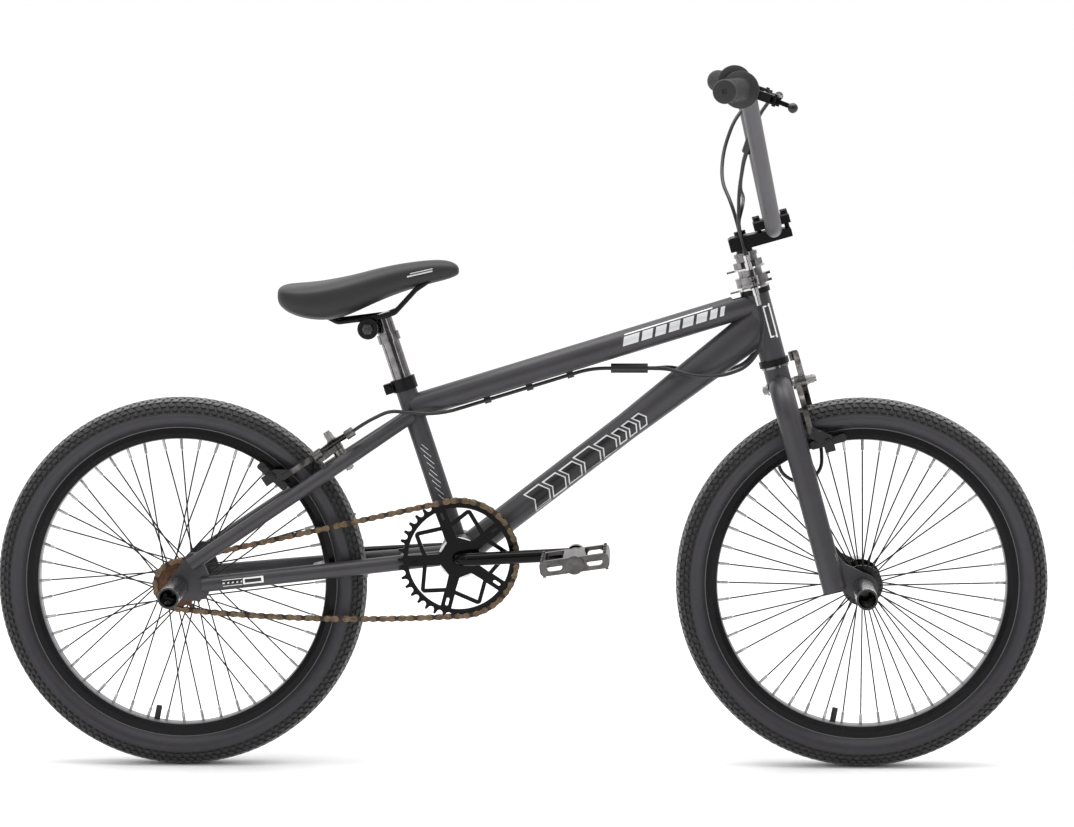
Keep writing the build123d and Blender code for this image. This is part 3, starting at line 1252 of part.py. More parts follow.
def build_cable(name, points, radius=housing_radius):
    """A cable along straight runs joined by arcs that take up most of each run."""
    radii = []
    for before, corner, after in zip(points, points[1:], points[2:]):
        into = corner - before
        out = after - corner
        radii.append(0.45 * min(into.length, out.length) / tan(radians(into.get_angle(out)) / 2))
    with BuildPart() as cable:
        with BuildLine() as path:
            FilletPolyline(*points, radius=radii)
        with BuildSketch(Plane(origin=path.line @ 0, z_dir=path.line % 0)) as section:
            Circle(radius)
        sweep(section.sketch, path=path.line)
    long = path.wires()[0].length
    print(f"{name}: length {long:.0f}, radii " + " ".join(f"{r:.0f}" for r in radii)
          + f", volume off by {cable.part.volume / (pi * radius**2 * long) - 1:.4f}")
    return cable.part


def wire(start, end):
    with BuildPart() as strand:
        rod(start, end, wire_radius)
    return strand.part


rear_lug = Vector(lug_ahead, lug_offset, upper_lug)
top_run = (top_front - top_rear).normalized()
tube_clearance = 20.6          # cable's line below the top tube's axis


def under_top_tube(x):
    """A point on the cable's line along the underside of the top tube."""
    down = Vector(top_run.Z, 0, -top_run.X)
    spot = top_rear + down * tube_clearance
    return spot + top_run * ((x - spot.X) / top_run.X)


joiner_front = 172.0
joiner_back = 122.0
joiner_height = 543.6
joiner_radius = 6.6
pair_side = 3.1
lower_pair = []
for hand in (-1, 1):
    lower_pair.append(build_cable("lower detangler cable", [
        on_steer(0, hand * barrel_out, mount_low - 8.4), on_steer(0, hand * barrel_out, 52.0),
        Vector(322, hand * 28, 570), Vector(304, hand * 28.5, 547), Vector(272, hand * 28.5, 535.5),
        Vector(235, hand * 28, 535), Vector(203, hand * 20, 544.0),
        Vector(joiner_front + 12, hand * pair_side, joiner_height),
        Vector(joiner_front - 14, hand * pair_side, joiner_height)]))
    lower_pair.append(wire(on_steer(0, hand * barrel_out, mount_low - 8.3),
                           on_steer(0, hand * barrel_out, lower_ring + 5.5)))
rear_main = build_cable("rear brake cable", [
    Vector(joiner_back + 14, 0, joiner_height), under_top_tube(95), under_top_tube(-64), Vector(-98, -12, 485),
    Vector(-124, -26, 483.5), Vector(-150, -31.5, 486), Vector(-176, -36, 489),
    rear_caliper.from_local_coords(rear_lug + Vector(0, 0, 29)), rear_caliper.from_local_coords(rear_lug)])
rear_wire = wire(rear_caliper.from_local_coords(rear_lug - Vector(0, 0, 0.1)),
                 rear_caliper.from_local_coords(Vector(lug_ahead, lug_offset, lower_lug - 5)))
rear_brake_cable = Compound(children=[rear_main, rear_wire] + lower_pair)
rear_brake_cable.label = "rear_brake_cable"
export_step(rear_brake_cable, "parts/rear_brake_cable.step")

front_lug = Vector(lug_ahead, lug_offset, lower_lug)
front_main = build_cable("front brake cable", [
    barrel_point(1, 5.5), barrel_point(1, 50), Vector(314, 112, 903), Vector(290, 90, 878), Vector(274, 72, 835),
    Vector(271, 44, 795), on_steer(0, 0, 215), on_steer(0, 0, 5), on_steer(0, 7, -22), on_steer(0, 6.5, -56),
    on_steer(0, 22, -76), on_steer(-4, 35, -100), Vector(350, 35, 434), Vector(350, 35, 398),
    Vector(379.5, 35.5, 381), Vector(409, 38, 398), Vector(409, 45, 432), Vector(400, 50, 462),
    front_caliper.from_local_coords(front_lug - Vector(0, 0, 12)), front_caliper.from_local_coords(front_lug)])
front_wire = wire(front_caliper.from_local_coords(front_lug + Vector(0, 0, 0.1)),
                  front_caliper.from_local_coords(Vector(lug_ahead, lug_offset, upper_lug + 5)))
front_brake_cable = Compound(children=[front_main, front_wire])
front_brake_cable.label = "front_brake_cable"
export_step(front_brake_cable, "parts/front_brake_cable.step")

# Upper detangler cable: one housing from the right lever to a splitter, two from there to the barrels.
split_from = Vector(318, -122, 888)
split_to = Vector(302, -98, 838)
split_place = Plane(origin=split_from + (split_to - split_from) * 0.75, z_dir=split_to - split_from,
                    x_dir=(0, 1, 0.48))
split_radius = 6.6
upper_single = build_cable("upper detangler cable", [
    barrel_point(-1, 5.5), barrel_point(-1, 40), split_from, split_place.from_local_coords(Vector(0, 0, -6))])
upper_parts = [upper_single]
for hand, below in ((-1, [Vector(293, -76, 788)]), (1, [Vector(294, -62, 790), Vector(300, -16, 776),
                                                         Vector(300, 16, 764)])):
    start = split_place.from_local_coords(Vector(hand * pair_side, 0, 3))
    leave = split_place.from_local_coords(Vector(hand * pair_side, 0, 26))
    upper_parts.append(build_cable("upper detangler branch", [
        start, leave, *below, on_steer(0, hand * barrel_out, 186), on_steer(0, hand * barrel_out, upper_mount + 10.4)]))
    upper_parts.append(wire(on_steer(0, hand * barrel_out, upper_mount + 10.3),
                            on_steer(0, hand * barrel_out, upper_ring - 2.2)))
with BuildPart() as splitter:
    disc(split_place, -13, 13, split_radius)
    disc(split_place, -14, -5.7, housing_radius + 0.1, mode=Mode.SUBTRACT)
    for hand in (-1, 1):
        bore = Plane(origin=split_place.from_local_coords(Vector(hand * pair_side, 0, 0)), z_dir=split_place.z_dir)
        disc(bore, 2.7, 14, housing_radius + 0.1, mode=Mode.SUBTRACT)
gyro_upper_cables = Compound(children=upper_parts + [splitter.part])
gyro_upper_cables.label = "gyro_upper_cables"
export_step(gyro_upper_cables, "parts/gyro_upper_cables.step")

clip_length = 9.0
with BuildPart() as clips:
    for x in (67.0, 12.0, -45.0):
        clip_line = Plane(origin=under_top_tube(x), z_dir=top_run)
        disc(clip_line, -clip_length / 2, clip_length / 2, 4.6)
        with BuildSketch(clip_line.offset(-clip_length / 2)) as foot:
            upward = 1 if clip_line.y_dir.Z > 0.5 else -1
            if abs(clip_line.y_dir.Z) > 0.5:
                with Locations((0, upward * 4)):
                    Rectangle(7, 8)
            else:
                with Locations(((1 if clip_line.x_dir.Z > 0 else -1) * 4, 0)):
                    Rectangle(8, 7)
        extrude(foot.sketch, amount=clip_length)
        disc(clip_line, -10, 10, cable_bore, mode=Mode.SUBTRACT)
    rod(top_rear, top_front, top_tube_radius + 0.02, mode=Mode.SUBTRACT)
with BuildPart() as joiner:
    joiner_line = Plane(origin=(joiner_back, 0, joiner_height), z_dir=(1, 0, 0))
    disc(joiner_line, 0, joiner_front - joiner_back, joiner_radius)
    disc(joiner_line, -1, 14.4, housing_radius + 0.3, mode=Mode.SUBTRACT)
    for hand in (-1, 1):
        bore = Plane(origin=(joiner_front, hand * pair_side, joiner_height), z_dir=(-1, 0, 0))
        disc(bore, -1, 14.4, housing_radius + 0.35, mode=Mode.SUBTRACT)
clip_group = Compound(children=[clips.part, joiner.part])
clip_group.label = "cable_clips"
export_step(clip_group, "parts/cable_clips.step")
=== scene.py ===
import json
import math

import bpy
from mathutils import Matrix, Vector


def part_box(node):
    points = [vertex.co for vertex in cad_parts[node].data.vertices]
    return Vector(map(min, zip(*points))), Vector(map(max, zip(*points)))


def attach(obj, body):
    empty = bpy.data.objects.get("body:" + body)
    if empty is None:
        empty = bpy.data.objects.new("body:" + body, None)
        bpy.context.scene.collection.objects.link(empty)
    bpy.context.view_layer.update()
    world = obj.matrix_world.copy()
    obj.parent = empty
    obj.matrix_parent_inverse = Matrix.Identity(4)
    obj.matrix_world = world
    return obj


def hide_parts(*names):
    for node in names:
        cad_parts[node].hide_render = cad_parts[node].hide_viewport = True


MM = 0.001
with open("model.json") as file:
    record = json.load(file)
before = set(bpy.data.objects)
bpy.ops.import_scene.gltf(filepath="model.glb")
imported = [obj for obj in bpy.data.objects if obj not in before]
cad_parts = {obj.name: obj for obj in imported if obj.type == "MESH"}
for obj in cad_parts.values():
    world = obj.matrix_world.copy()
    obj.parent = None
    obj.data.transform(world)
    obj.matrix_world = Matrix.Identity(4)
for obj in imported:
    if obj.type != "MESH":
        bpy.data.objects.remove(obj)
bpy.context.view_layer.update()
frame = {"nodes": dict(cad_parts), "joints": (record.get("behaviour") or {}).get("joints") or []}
nodes = frame["nodes"]


# ---------- small tools ----------
def linear(hex_colour):
    """sRGB hex to the linear values a shader takes."""
    parts = [int(hex_colour[i : i + 2], 16) / 255 for i in (1, 3, 5)]
    parts = [c / 12.92 if c <= 0.04045 else ((c + 0.055) / 1.055) ** 2.4 for c in parts]
    return (*parts, 1.0)


def add(tree, kind, values=None, links=None, stops=None, **settings):
    """Adds one node with its settings, socket values, links and, on a colour ramp, its stops."""
    made = tree.nodes.new(kind)
    for key, value in settings.items():
        setattr(made, key, value)
    for key, value in (values or {}).items():
        made.inputs[key].default_value = value
    for key, source in (links or {}).items():
        tree.links.new(source, made.inputs[key])
    for _ in range(len(stops or []) - 2):
        made.color_ramp.elements.new(0.5)
    for index, (position, colour) in enumerate(stops or []):
        made.color_ramp.elements[index].position = position
        made.color_ramp.elements[index].color = colour if isinstance(colour, tuple) else (colour,) * 3 + (1,)
    return made


def new_material(name):
    material = bpy.data.materials.new(name)
    material.use_nodes = True
    tree = material.node_tree
    shader = next(n for n in tree.nodes if n.type == "BSDF_PRINCIPLED")
    place = add(tree, "ShaderNodeTexCoord").outputs["Object"]
    return material, tree, shader, place


def coated(name, dark, light, rough, rough_spread=0.06, metallic=0.0, patch_mm=60, grain_mm=0.9, relief_mm=0.02,
           specular=0.5, scratches=0.0):
    """Paint, plating, rubber or alloy: two close tones in soft patches, a fine grain in the surface."""
    material, tree, shader, place = new_material(name)
    patches = add(tree, "ShaderNodeTexNoise", {"Scale": 1 / (patch_mm * MM), "Detail": 4.0, "Roughness": 0.6},
                  {"Vector": place})
    grain = add(tree, "ShaderNodeTexNoise", {"Scale": 1 / (grain_mm * MM), "Detail": 2.0, "Roughness": 0.5},
                {"Vector": place})
    tone = add(tree, "ShaderNodeValToRGB", links={"Fac": patches.outputs["Fac"]},
               stops=[(0.3, linear(dark)), (0.7, linear(light))])
    tree.links.new(tone.outputs["Color"], shader.inputs["Base Color"])
    both = add(tree, "ShaderNodeMath", {1: 0.35}, {0: grain.outputs["Fac"], 2: patches.outputs["Fac"]},
               operation="MULTIPLY_ADD")
    shine = add(tree, "ShaderNodeMapRange", {"From Min": 0.3, "From Max": 1.1, "To Min": rough - rough_spread,
                                             "To Max": rough + rough_spread}, {"Value": both.outputs[0]})
    tree.links.new(shine.outputs["Result"], shader.inputs["Roughness"])
    height = grain.outputs["Fac"]
    if scratches:
        stretched = add(tree, "ShaderNodeMapping", {"Scale": (1, 30, 1)}, {"Vector": place})
        lines = add(tree, "ShaderNodeTexNoise", {"Scale": 120.0, "Detail": 3.0}, {"Vector": stretched.outputs[0]})
        height = add(tree, "ShaderNodeMath", {1: scratches}, {0: lines.outputs["Fac"], 2: grain.outputs["Fac"]},
                     operation="MULTIPLY_ADD").outputs[0]
    relief = add(tree, "ShaderNodeBump", {"Strength": 0.35, "Distance": relief_mm * MM}, {"Height": height})
    tree.links.new(relief.outputs["Normal"], shader.inputs["Normal"])
    shader.inputs["Metallic"].default_value = metallic
    shader.inputs["Specular IOR Level"].default_value = specular
    return material


def from_axle(tree, place, x):
    """Distance from a wheel's axle line, in metres."""
    parts = add(tree, "ShaderNodeSeparateXYZ", links={"Vector": place})
    ahead = add(tree, "ShaderNodeMath", {1: -x}, {0: parts.outputs["X"]}, operation="ADD")
    above = add(tree, "ShaderNodeMath", {1: -axle_height}, {0: parts.outputs["Z"]}, operation="ADD")
    flat = add(tree, "ShaderNodeCombineXYZ", links={"X": ahead.outputs[0], "Y": above.outputs[0]})
    return add(tree, "ShaderNodeVectorMath", links={0: flat.outputs[0]}, operation="LENGTH").outputs["Value"]


def mesh_piece(name, verts, faces, material, body, smooth=True, sharp_deg=35):
    """A mesh object at the origin, riding on a body."""
    mesh = bpy.data.meshes.new(name)
    mesh.from_pydata([tuple(v) for v in verts], [], faces)
    mesh.validate()
    piece = bpy.data.objects.new(name, mesh)
    bpy.context.scene.collection.objects.link(piece)
    finish_piece(piece, material, body, smooth, sharp_deg)
    return piece


def finish_piece(piece, material, body, smooth=True, sharp_deg=35):
    piece.data.materials.clear()
    piece.data.materials.append(material)
    only(piece)
    bpy.ops.object.mode_set(mode="EDIT")
    bpy.ops.mesh.select_all(action="SELECT")
    bpy.ops.mesh.remove_doubles(threshold=1e-6)
    bpy.ops.mesh.normals_make_consistent(inside=False)
    bpy.ops.object.mode_set(mode="OBJECT")
    if smooth:
        bpy.ops.object.shade_smooth_by_angle(angle=math.radians(sharp_deg))
    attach(piece, body)


def only(piece):
    bpy.ops.object.select_all(action="DESELECT")
    piece.select_set(True)
    bpy.context.view_layer.objects.active = piece


def turned(name, outline, centre, axis, material, body, steps=64, sharp_deg=35):
    """An outline of (along the axis, radius) in millimetres, spun round a line."""
    axis = Vector(axis).normalized()
    out = axis.orthogonal().normalized()
    bpy.ops.object.select_all(action="DESELECT")
    bpy.ops.mesh.primitive_circle_add(vertices=len(outline), radius=1, fill_type="NOTHING")
    piece = bpy.context.object
    piece.name = piece.data.name = name
    for vertex, (a, r) in zip(piece.data.vertices, outline):
        vertex.co = Vector(centre) + axis * (a * MM) + out * (r * MM)
    only(piece)
    bpy.ops.object.mode_set(mode="EDIT")
    bpy.ops.mesh.select_all(action="SELECT")
    bpy.ops.mesh.spin(steps=steps, angle=2 * math.pi, center=tuple(centre), axis=tuple(axis))
    bpy.ops.object.mode_set(mode="OBJECT")
    finish_piece(piece, material, body, sharp_deg=sharp_deg)
    return piece


# ---------- places taken from the frame ----------
def middle(node):
    low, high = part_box(node)
    return (Vector(low) + Vector(high)) / 2


axle_height = middle("front_axle").z
wheel_x = {"front": middle("front_axle").x, "rear": middle("rear_axle").x}
tyre_outside = (Vector(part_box("front_tyre")[1]) - Vector(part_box("front_tyre")[0])).x / 2 / MM
tyre_half = (Vector(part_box("front_tyre")[1]) - Vector(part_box("front_tyre")[0])).y / 2 / MM
bracket = middle("bottom_bracket_shell")
saddle_pivot = Vector(next(j for j in frame["joints"] if j["name"] == "saddle_tilt")["pos_m"])


# ---------- finishes ----------
# Powder-coated steel: satin, with a fine orange peel and no sparkle.
powder_coat = coated("powder_coat_charcoal", "#302e31", "#383639", 0.40, 0.05, grain_mm=1.1, relief_mm=0.06,
                     specular=0.45)
# The handlebar has the frame's charcoal powder coat painted lighter grey: a painted highlight for the light it
# faces.
bar_coat_with_painted_highlight = coated("powder_coat_painted_highlight", "#4f4d50", "#5a585b", 0.40, 0.05, grain_mm=1.1, relief_mm=0.06)
# The same coat baked glossy on the cranks and chainring.
gloss_enamel = coated("gloss_black_enamel", "#030303", "#060606", 0.18, 0.04, patch_mm=40, specular=0.14)
# Stem and caps: black paint, duller than the cranks.
stem_black = coated("satin_black_paint", "#070607", "#0c0b0c", 0.38, 0.06, specular=0.2)
hub_black = coated("black_hub_shell", "#070707", "#0d0c0c", 0.28, 0.06)
# Nickel-chrome plating: bright, with faint handling marks in its roughness.
chrome = coated("chrome_plate", "#b4b3b3", "#cccbcb", 0.12, 0.05, metallic=1.0, patch_mm=18, relief_mm=0.01)
dark_chrome = coated("smoked_chrome_plate", "#5f5d5e", "#8c8a8a", 0.13, 0.06, metallic=1.0, patch_mm=12,
                     relief_mm=0.02)
zinc = coated("zinc_plated_steel", "#8f8d8b", "#a9a7a4", 0.30, 0.08, metallic=1.0, patch_mm=12, relief_mm=0.02)
dark_alloy = coated("dull_pedal_alloy", "#4f4c4c", "#6f6c6b", 0.36, 0.1, metallic=0.9, patch_mm=10,
                    relief_mm=0.08, scratches=0.6)
# Brown chain steel: phosphate finish with a rust-coloured bloom between the plates.
chain_brown = coated("brown_chain_steel", "#211a14", "#3d3024", 0.42, 0.1, metallic=0.5, patch_mm=6,
                     relief_mm=0.05)
chain_worn = coated("worn_chain_plate_steel", "#4a3d30", "#7d6a55", 0.34, 0.1, metallic=0.8, patch_mm=5,
                    relief_mm=0.04)
cog_brown = coated("rusty_cog_steel", "#3a2517", "#684426", 0.5, 0.1, metallic=0.4, patch_mm=5, relief_mm=0.05)
# PVC cable housing: smooth, slightly shiny.
cable_black = coated("pvc_cable_housing", "#121112", "#1a191a", 0.34, 0.05, grain_mm=3, relief_mm=0.01)
lever_black = coated("black_lever_enamel", "#0b0a0b", "#121112", 0.28, 0.05)
grip_rubber = coated("grip_rubber", "#1e1c1d", "#2a2829", 0.60, 0.06, grain_mm=0.8, relief_mm=0.06)
tube_rubber = coated("butyl_rubber", "#151515", "#1c1c1c", 0.6, 0.05)
decal_silver = coated("silver_decal_film", "#c9c9cb", "#dadadc", 0.32, 0.05, metallic=0.2, relief_mm=0.005)
decal_white = coated("white_decal_film", "#e4e4e4", "#efefef", 0.35, 0.05, relief_mm=0.005)
decal_black = coated("black_decal_film", "#0e0e0e", "#141414", 0.35, 0.05, relief_mm=0.005)


def peg_finish(x):
    """Chrome outside, black within about 14 mm of the axle line: the ends and the bore."""
    material, tree, shader, place = new_material(f"peg_plating_{'front' if x > 0 else 'rear'}")
    away = from_axle(tree, place, x)
    share = add(tree, "ShaderNodeMapRange", {"From Min": 0.0125, "From Max": 0.0145}, {"Value": away}).outputs[0]
    outside = add(tree, "ShaderNodeValToRGB", links={"Fac": share}, stops=[(0.78, 0.0), (0.86, 1.0)])
    tone = add(tree, "ShaderNodeMix", {6: linear("#0c0c0c"), 7: linear("#b9b8b8")},
               {0: outside.outputs["Color"]}, data_type="RGBA")
    tree.links.new(tone.outputs[2], shader.inputs["Base Color"])
    marks = add(tree, "ShaderNodeTexNoise", {"Scale": 90.0, "Detail": 4.0}, {"Vector": place})
    shine = add(tree, "ShaderNodeMapRange", {"To Min": 0.12, "To Max": 0.26}, {"Value": marks.outputs["Fac"]})
    tree.links.new(shine.outputs[0], shader.inputs["Roughness"])
    tree.links.new(outside.outputs["Color"], shader.inputs["Metallic"])
    return material


def spoke_finish(end):
    """Blackened steel spokes with bright nickel-plated brass nipples at the rim."""
    material, tree, shader, place = new_material(f"spoke_steel_{end}")
    away = from_axle(tree, place, wheel_x[end])
    share = add(tree, "ShaderNodeMapRange", {"From Min": 0.17, "From Max": 0.19}, {"Value": away}).outputs[0]
    nipple = add(tree, "ShaderNodeValToRGB", links={"Fac": share}, stops=[(0.44, 0.0), (0.5, 1.0)])
    polish = add(tree, "ShaderNodeTexNoise", {"Scale": 150.0, "Detail": 3.0}, {"Vector": place})
    plate = add(tree, "ShaderNodeValToRGB", links={"Fac": polish.outputs["Fac"]},
                stops=[(0.3, linear("#8f8d8b")), (0.7, linear("#c6c4c1"))])
    tone = add(tree, "ShaderNodeMix", {6: linear("#2a2727")},
               {0: nipple.outputs["Color"], 7: plate.outputs["Color"]},
               data_type="RGBA")
    tree.links.new(tone.outputs[2], shader.inputs["Base Color"])
    shine = add(tree, "ShaderNodeMapRange", {"To Min": 0.2, "To Max": 0.4}, {"Value": polish.outputs["Fac"]})
    tree.links.new(shine.outputs[0], shader.inputs["Roughness"])
    shader.inputs["Metallic"].default_value = 0.8
    return material


def rim_finish(end):
    """Black anodised rim whose inner edge has worn bright."""
    material, tree, shader, place = new_material(f"anodised_rim_{end}")
    away = from_axle(tree, place, wheel_x[end])
    share = add(tree, "ShaderNodeMapRange", {"From Min": 0.19, "From Max": 0.21}, {"Value": away}).outputs[0]
    bands = add(tree, "ShaderNodeValToRGB", links={"Fac": share},
                stops=[(0.0, linear("#77757a")), (0.29, linear("#77757a")), (0.36, linear("#0a090a")),
                       (1.0, linear("#050405"))])
    haze = add(tree, "ShaderNodeTexNoise", {"Scale": 45.0, "Detail": 4.0}, {"Vector": place})
    tree.links.new(bands.outputs["Color"], shader.inputs["Base Color"])
    shine = add(tree, "ShaderNodeMapRange", {"To Min": 0.2, "To Max": 0.36}, {"Value": haze.outputs["Fac"]})
    tree.links.new(shine.outputs[0], shader.inputs["Roughness"])
    shader.inputs["Specular IOR Level"].default_value = 0.18
    return material


def caliper_finish(end):
    """Forged alloy arm, polished dark, ending in a black rubber block and its black holder by the rim."""
    material, tree, shader, place = new_material(f"caliper_alloy_{end}")
    away = from_axle(tree, place, wheel_x[end])
    share = add(tree, "ShaderNodeMapRange", {"From Min": 0.20, "From Max": 0.24}, {"Value": away}).outputs[0]
    arm = add(tree, "ShaderNodeValToRGB", links={"Fac": share}, stops=[(0.42, 0.0), (0.46, 1.0)])
    polish = add(tree, "ShaderNodeTexNoise", {"Scale": 70.0, "Detail": 4.0}, {"Vector": place})
    metal = add(tree, "ShaderNodeValToRGB", links={"Fac": polish.outputs["Fac"]},
                stops=[(0.35, linear("#3b3939")), (0.65, linear("#7d7a78"))])
    tone = add(tree, "ShaderNodeMix", {6: linear("#0a0a0a")}, {0: arm.outputs["Color"], 7: metal.outputs["Color"]},
               data_type="RGBA")
    tree.links.new(tone.outputs[2], shader.inputs["Base Color"])
    tree.links.new(arm.outputs["Color"], shader.inputs["Metallic"])
    shine = add(tree, "ShaderNodeMapRange", {"To Min": 0.18, "To Max": 0.42}, {"Value": polish.outputs["Fac"]})
    tree.links.new(shine.outputs[0], shader.inputs["Roughness"])
    return material


def tyre_finish(end):
    """Moulded rubber: blue-black wall with a thin pale line at the bead; the tread is painted lighter grey, a
    painted highlight.
    """
    x = wheel_x[end]
    material, tree, shader, place = new_material(f"moulded_tyre_rubber_{end}")
    away = from_axle(tree, place, x)
    share = add(tree, "ShaderNodeMapRange", {"From Min": 0.205, "From Max": 0.255}, {"Value": away}).outputs[0]
    # The last stops, out on the tread, are light grey: a painted highlight on the tread.
    bands = add(tree, "ShaderNodeValToRGB", links={"Fac": share},
                stops=[(0.0, linear("#0e0d0e")), (0.105, linear("#0e0d0e")), (0.12, linear("#5c5a60")),
                       (0.135, linear("#5c5a60")), (0.16, linear("#100f12")), (0.3, linear("#242128")),
                       (0.5, linear("#2b282e")), (0.56, linear("#1a191b")), (0.82, linear("#2a292a")),
                       (0.88, linear("#6a6869")), (1.0, linear("#787677"))])
    dust = add(tree, "ShaderNodeTexNoise", {"Scale": 55.0, "Detail": 6.0, "Roughness": 0.65}, {"Vector": place})
    cloud = add(tree, "ShaderNodeValToRGB", links={"Fac": dust.outputs["Fac"]}, stops=[(0.3, 0.78), (0.72, 1.12)])
    tone = add(tree, "ShaderNodeMix", {0: 1.0}, {6: bands.outputs["Color"], 7: cloud.outputs["Color"]},
               data_type="RGBA", blend_type="MULTIPLY")
    tree.links.new(tone.outputs[2], shader.inputs["Base Color"])
    shine = add(tree, "ShaderNodeValToRGB", links={"Fac": share},
                stops=[(0.0, 0.5), (0.3, 0.42), (0.5, 0.46), (0.6, 0.66), (1.0, 0.7)])
    tree.links.new(shine.outputs["Color"], shader.inputs["Roughness"])
    # Fine rings left in the wall by the turned mould.
    rings = add(tree, "ShaderNodeMath", {1: 2 * math.pi / 0.0011}, {0: away}, operation="MULTIPLY")
    wave = add(tree, "ShaderNodeMath", links={0: rings.outputs[0]}, operation="SINE")
    height = add(tree, "ShaderNodeMath", {1: 0.2}, {0: wave.outputs[0], 2: dust.outputs["Fac"]},
                 operation="MULTIPLY_ADD")
    relief = add(tree, "ShaderNodeBump", {"Strength": 0.35, "Distance": 0.00025}, {"Height": height.outputs[0]})
    tree.links.new(relief.outputs["Normal"], shader.inputs["Normal"])
    return material


def vinyl_finish():
    """Saddle cover: matt vinyl with a leather grain about 1.5 mm across."""
    material, tree, shader, place = new_material("saddle_vinyl")
    cells = add(tree, "ShaderNodeTexVoronoi", {"Scale": 1 / (1.5 * MM)}, {"Vector": place}, feature="F1")
    wear = add(tree, "ShaderNodeTexNoise", {"Scale": 22.0, "Detail": 5.0}, {"Vector": place})
    tone = add(tree, "ShaderNodeValToRGB", links={"Fac": wear.outputs["Fac"]},
               stops=[(0.3, linear("#151415")), (0.7, linear("#1b1a1b"))])
    tree.links.new(tone.outputs["Color"], shader.inputs["Base Color"])
    shine = add(tree, "ShaderNodeMapRange", {"To Min": 0.46, "To Max": 0.6}, {"Value": wear.outputs["Fac"]})
    tree.links.new(shine.outputs[0], shader.inputs["Roughness"])
    relief = add(tree, "ShaderNodeBump", {"Strength": 0.3, "Distance": 0.00012},
                 {"Height": cells.outputs["Distance"]})
    tree.links.new(relief.outputs["Normal"], shader.inputs["Normal"])
    return material


vinyl = vinyl_finish()
tyre_material = {end: tyre_finish(end) for end in wheel_x}
spoke_material = {end: spoke_finish(end) for end in wheel_x}
rim_material = {end: rim_finish(end) for end in wheel_x}
caliper_material = {end: caliper_finish(end) for end in wheel_x}
peg_material = {end: peg_finish(wheel_x[end]) for end in wheel_x}

finishes = {
    powder_coat: ["head_tube", "top_tube", "down_tube", "seat_tube", "bottom_bracket_shell", "chain_stays",
                  "seat_stays", "rear_dropouts", "fork_legs"],
    bar_coat_with_painted_highlight: ["handlebar"],
    gloss_enamel: ["crank", "chainring"],
    stem_black: ["stem_body", "stem_cap", "headset_cups", "seat_clamp", "saddle_rails"],
    rim_material["front"]: ["front_rim"],
    rim_material["rear"]: ["rear_rim"],
    spoke_material["front"]: ["front_spokes"],
    spoke_material["rear"]: ["rear_spokes"],
    hub_black: ["front_hub", "rear_hub"],
    chrome: ["bottom_bracket_cups", "gyro_lower_mount", "gyro_upper_mount"],
    dark_chrome: ["headset_locknut", "gyro_lower_plate", "gyro_upper_plate", "seat_post"],
    zinc: ["front_axle", "rear_axle", "front_brake_bolt", "rear_brake_bolt", "fork_steerer"],
    caliper_material["front"]: ["front_brake_arm_left", "front_brake_arm_right"],
    caliper_material["rear"]: ["rear_brake_arm_left", "rear_brake_arm_right"],
    dark_alloy: ["right_pedal", "left_pedal"],
    chain_brown: ["chain_inner_links"],
    chain_worn: ["chain_outer_links"],
    cog_brown: ["freewheel"],
    cable_black: ["rear_brake_cable", "front_brake_cable", "gyro_upper_cables", "cable_clips"],
    lever_black: ["lever_brackets", "right_brake_lever", "left_brake_lever", "saddle_clamp"],
    grip_rubber: ["handlebar_grips"],
    tube_rubber: ["front_inner_tube", "rear_inner_tube"],
    vinyl: ["saddle_cushion"],
    peg_material["front"]: ["front_pegs"],
    peg_material["rear"]: ["rear_pegs"],
    tyre_material["front"]: ["front_tyre"],
    tyre_material["rear"]: ["rear_tyre"],
}
for finish, names in finishes.items():
    for name in names:
        slots = nodes[name].data.materials
        for index in range(len(slots)):
            slots[index] = finish
        if not slots:
            slots.append(finish)

# ---------- tyres ----------
# Across from the middle, and below the top of the tread.
carcass = [(0, 2.4), (7.5, 2.9), (14.5, 4.6), (20.3, 8.6), (24.0, 13.6), (26.0, 18.4)]
wall = [(26.9, 19.6), (27.1, 20.9), (26.6, 21.8), (26.9, 24.5), (26.4, 28.0), (24.7, 32.0), (21.6, 35.8),
        (18.3, 38.6), (17.7, 39.3), (17.5, 40.4), (16.6, 40.9), (15.6, 42.3), (13.6, 43.0)]
half_scale = tyre_half / 27.15
tread_base = [(y * half_scale, tyre_outside - drop) for y, drop in carcass]
whole_wall = [(y * half_scale, tyre_outside - drop) for y, drop in wall]
block_height = 2.4
pitches = 138


def tread_point(u, height):
    """Across and radius at a distance u round the tread from its middle, at a height above the carcass."""
    side = 1 if u >= 0 else -1
    rest = abs(u)
    for (y0, r0), (y1, r1) in zip(tread_base, tread_base[1:]):
        long = math.hypot(y1 - y0, r1 - r0)
        if rest <= long or (y1, r1) == tread_base[-1]:
            share = rest / long
            lean = math.atan2(r0 - r1, y1 - y0)
            y = y0 + (y1 - y0) * share + math.sin(lean) * height
            r = r0 + (r1 - r0) * share + math.cos(lean) * height
            return side * y, r
        rest -= long


def flat_block(across, along, width, length, skew):
    """A bevelled rubber block laid flat, in millimetres: across the tread, along it, and up."""
    bpy.ops.mesh.primitive_cube_add(size=1, location=(0, 0, 0))
    block = bpy.context.object
    for vertex in block.data.vertices:
        x, y, z = vertex.co
        taper = 0.92 if z > 0 else 1.0
        vertex.co = (x * width * taper, y * length * taper, (z + 0.5) * (block_height + 0.8) - 0.8)
    only(block)
    bevel = block.modifiers.new("edge", "BEVEL")
    bevel.width = 0.45
    bevel.segments = 1
    bevel.limit_method = "ANGLE"
    bpy.ops.object.modifier_apply(modifier="edge")
    verts = [(v.co.x + across, v.co.y + along + skew * v.co.x / width, v.co.z) for v in block.data.vertices]
    faces = [tuple(p.vertices) for p in block.data.polygons]
    bpy.data.objects.remove(block)
    return verts, faces


pitch_long = 2 * math.pi * tyre_outside / pitches
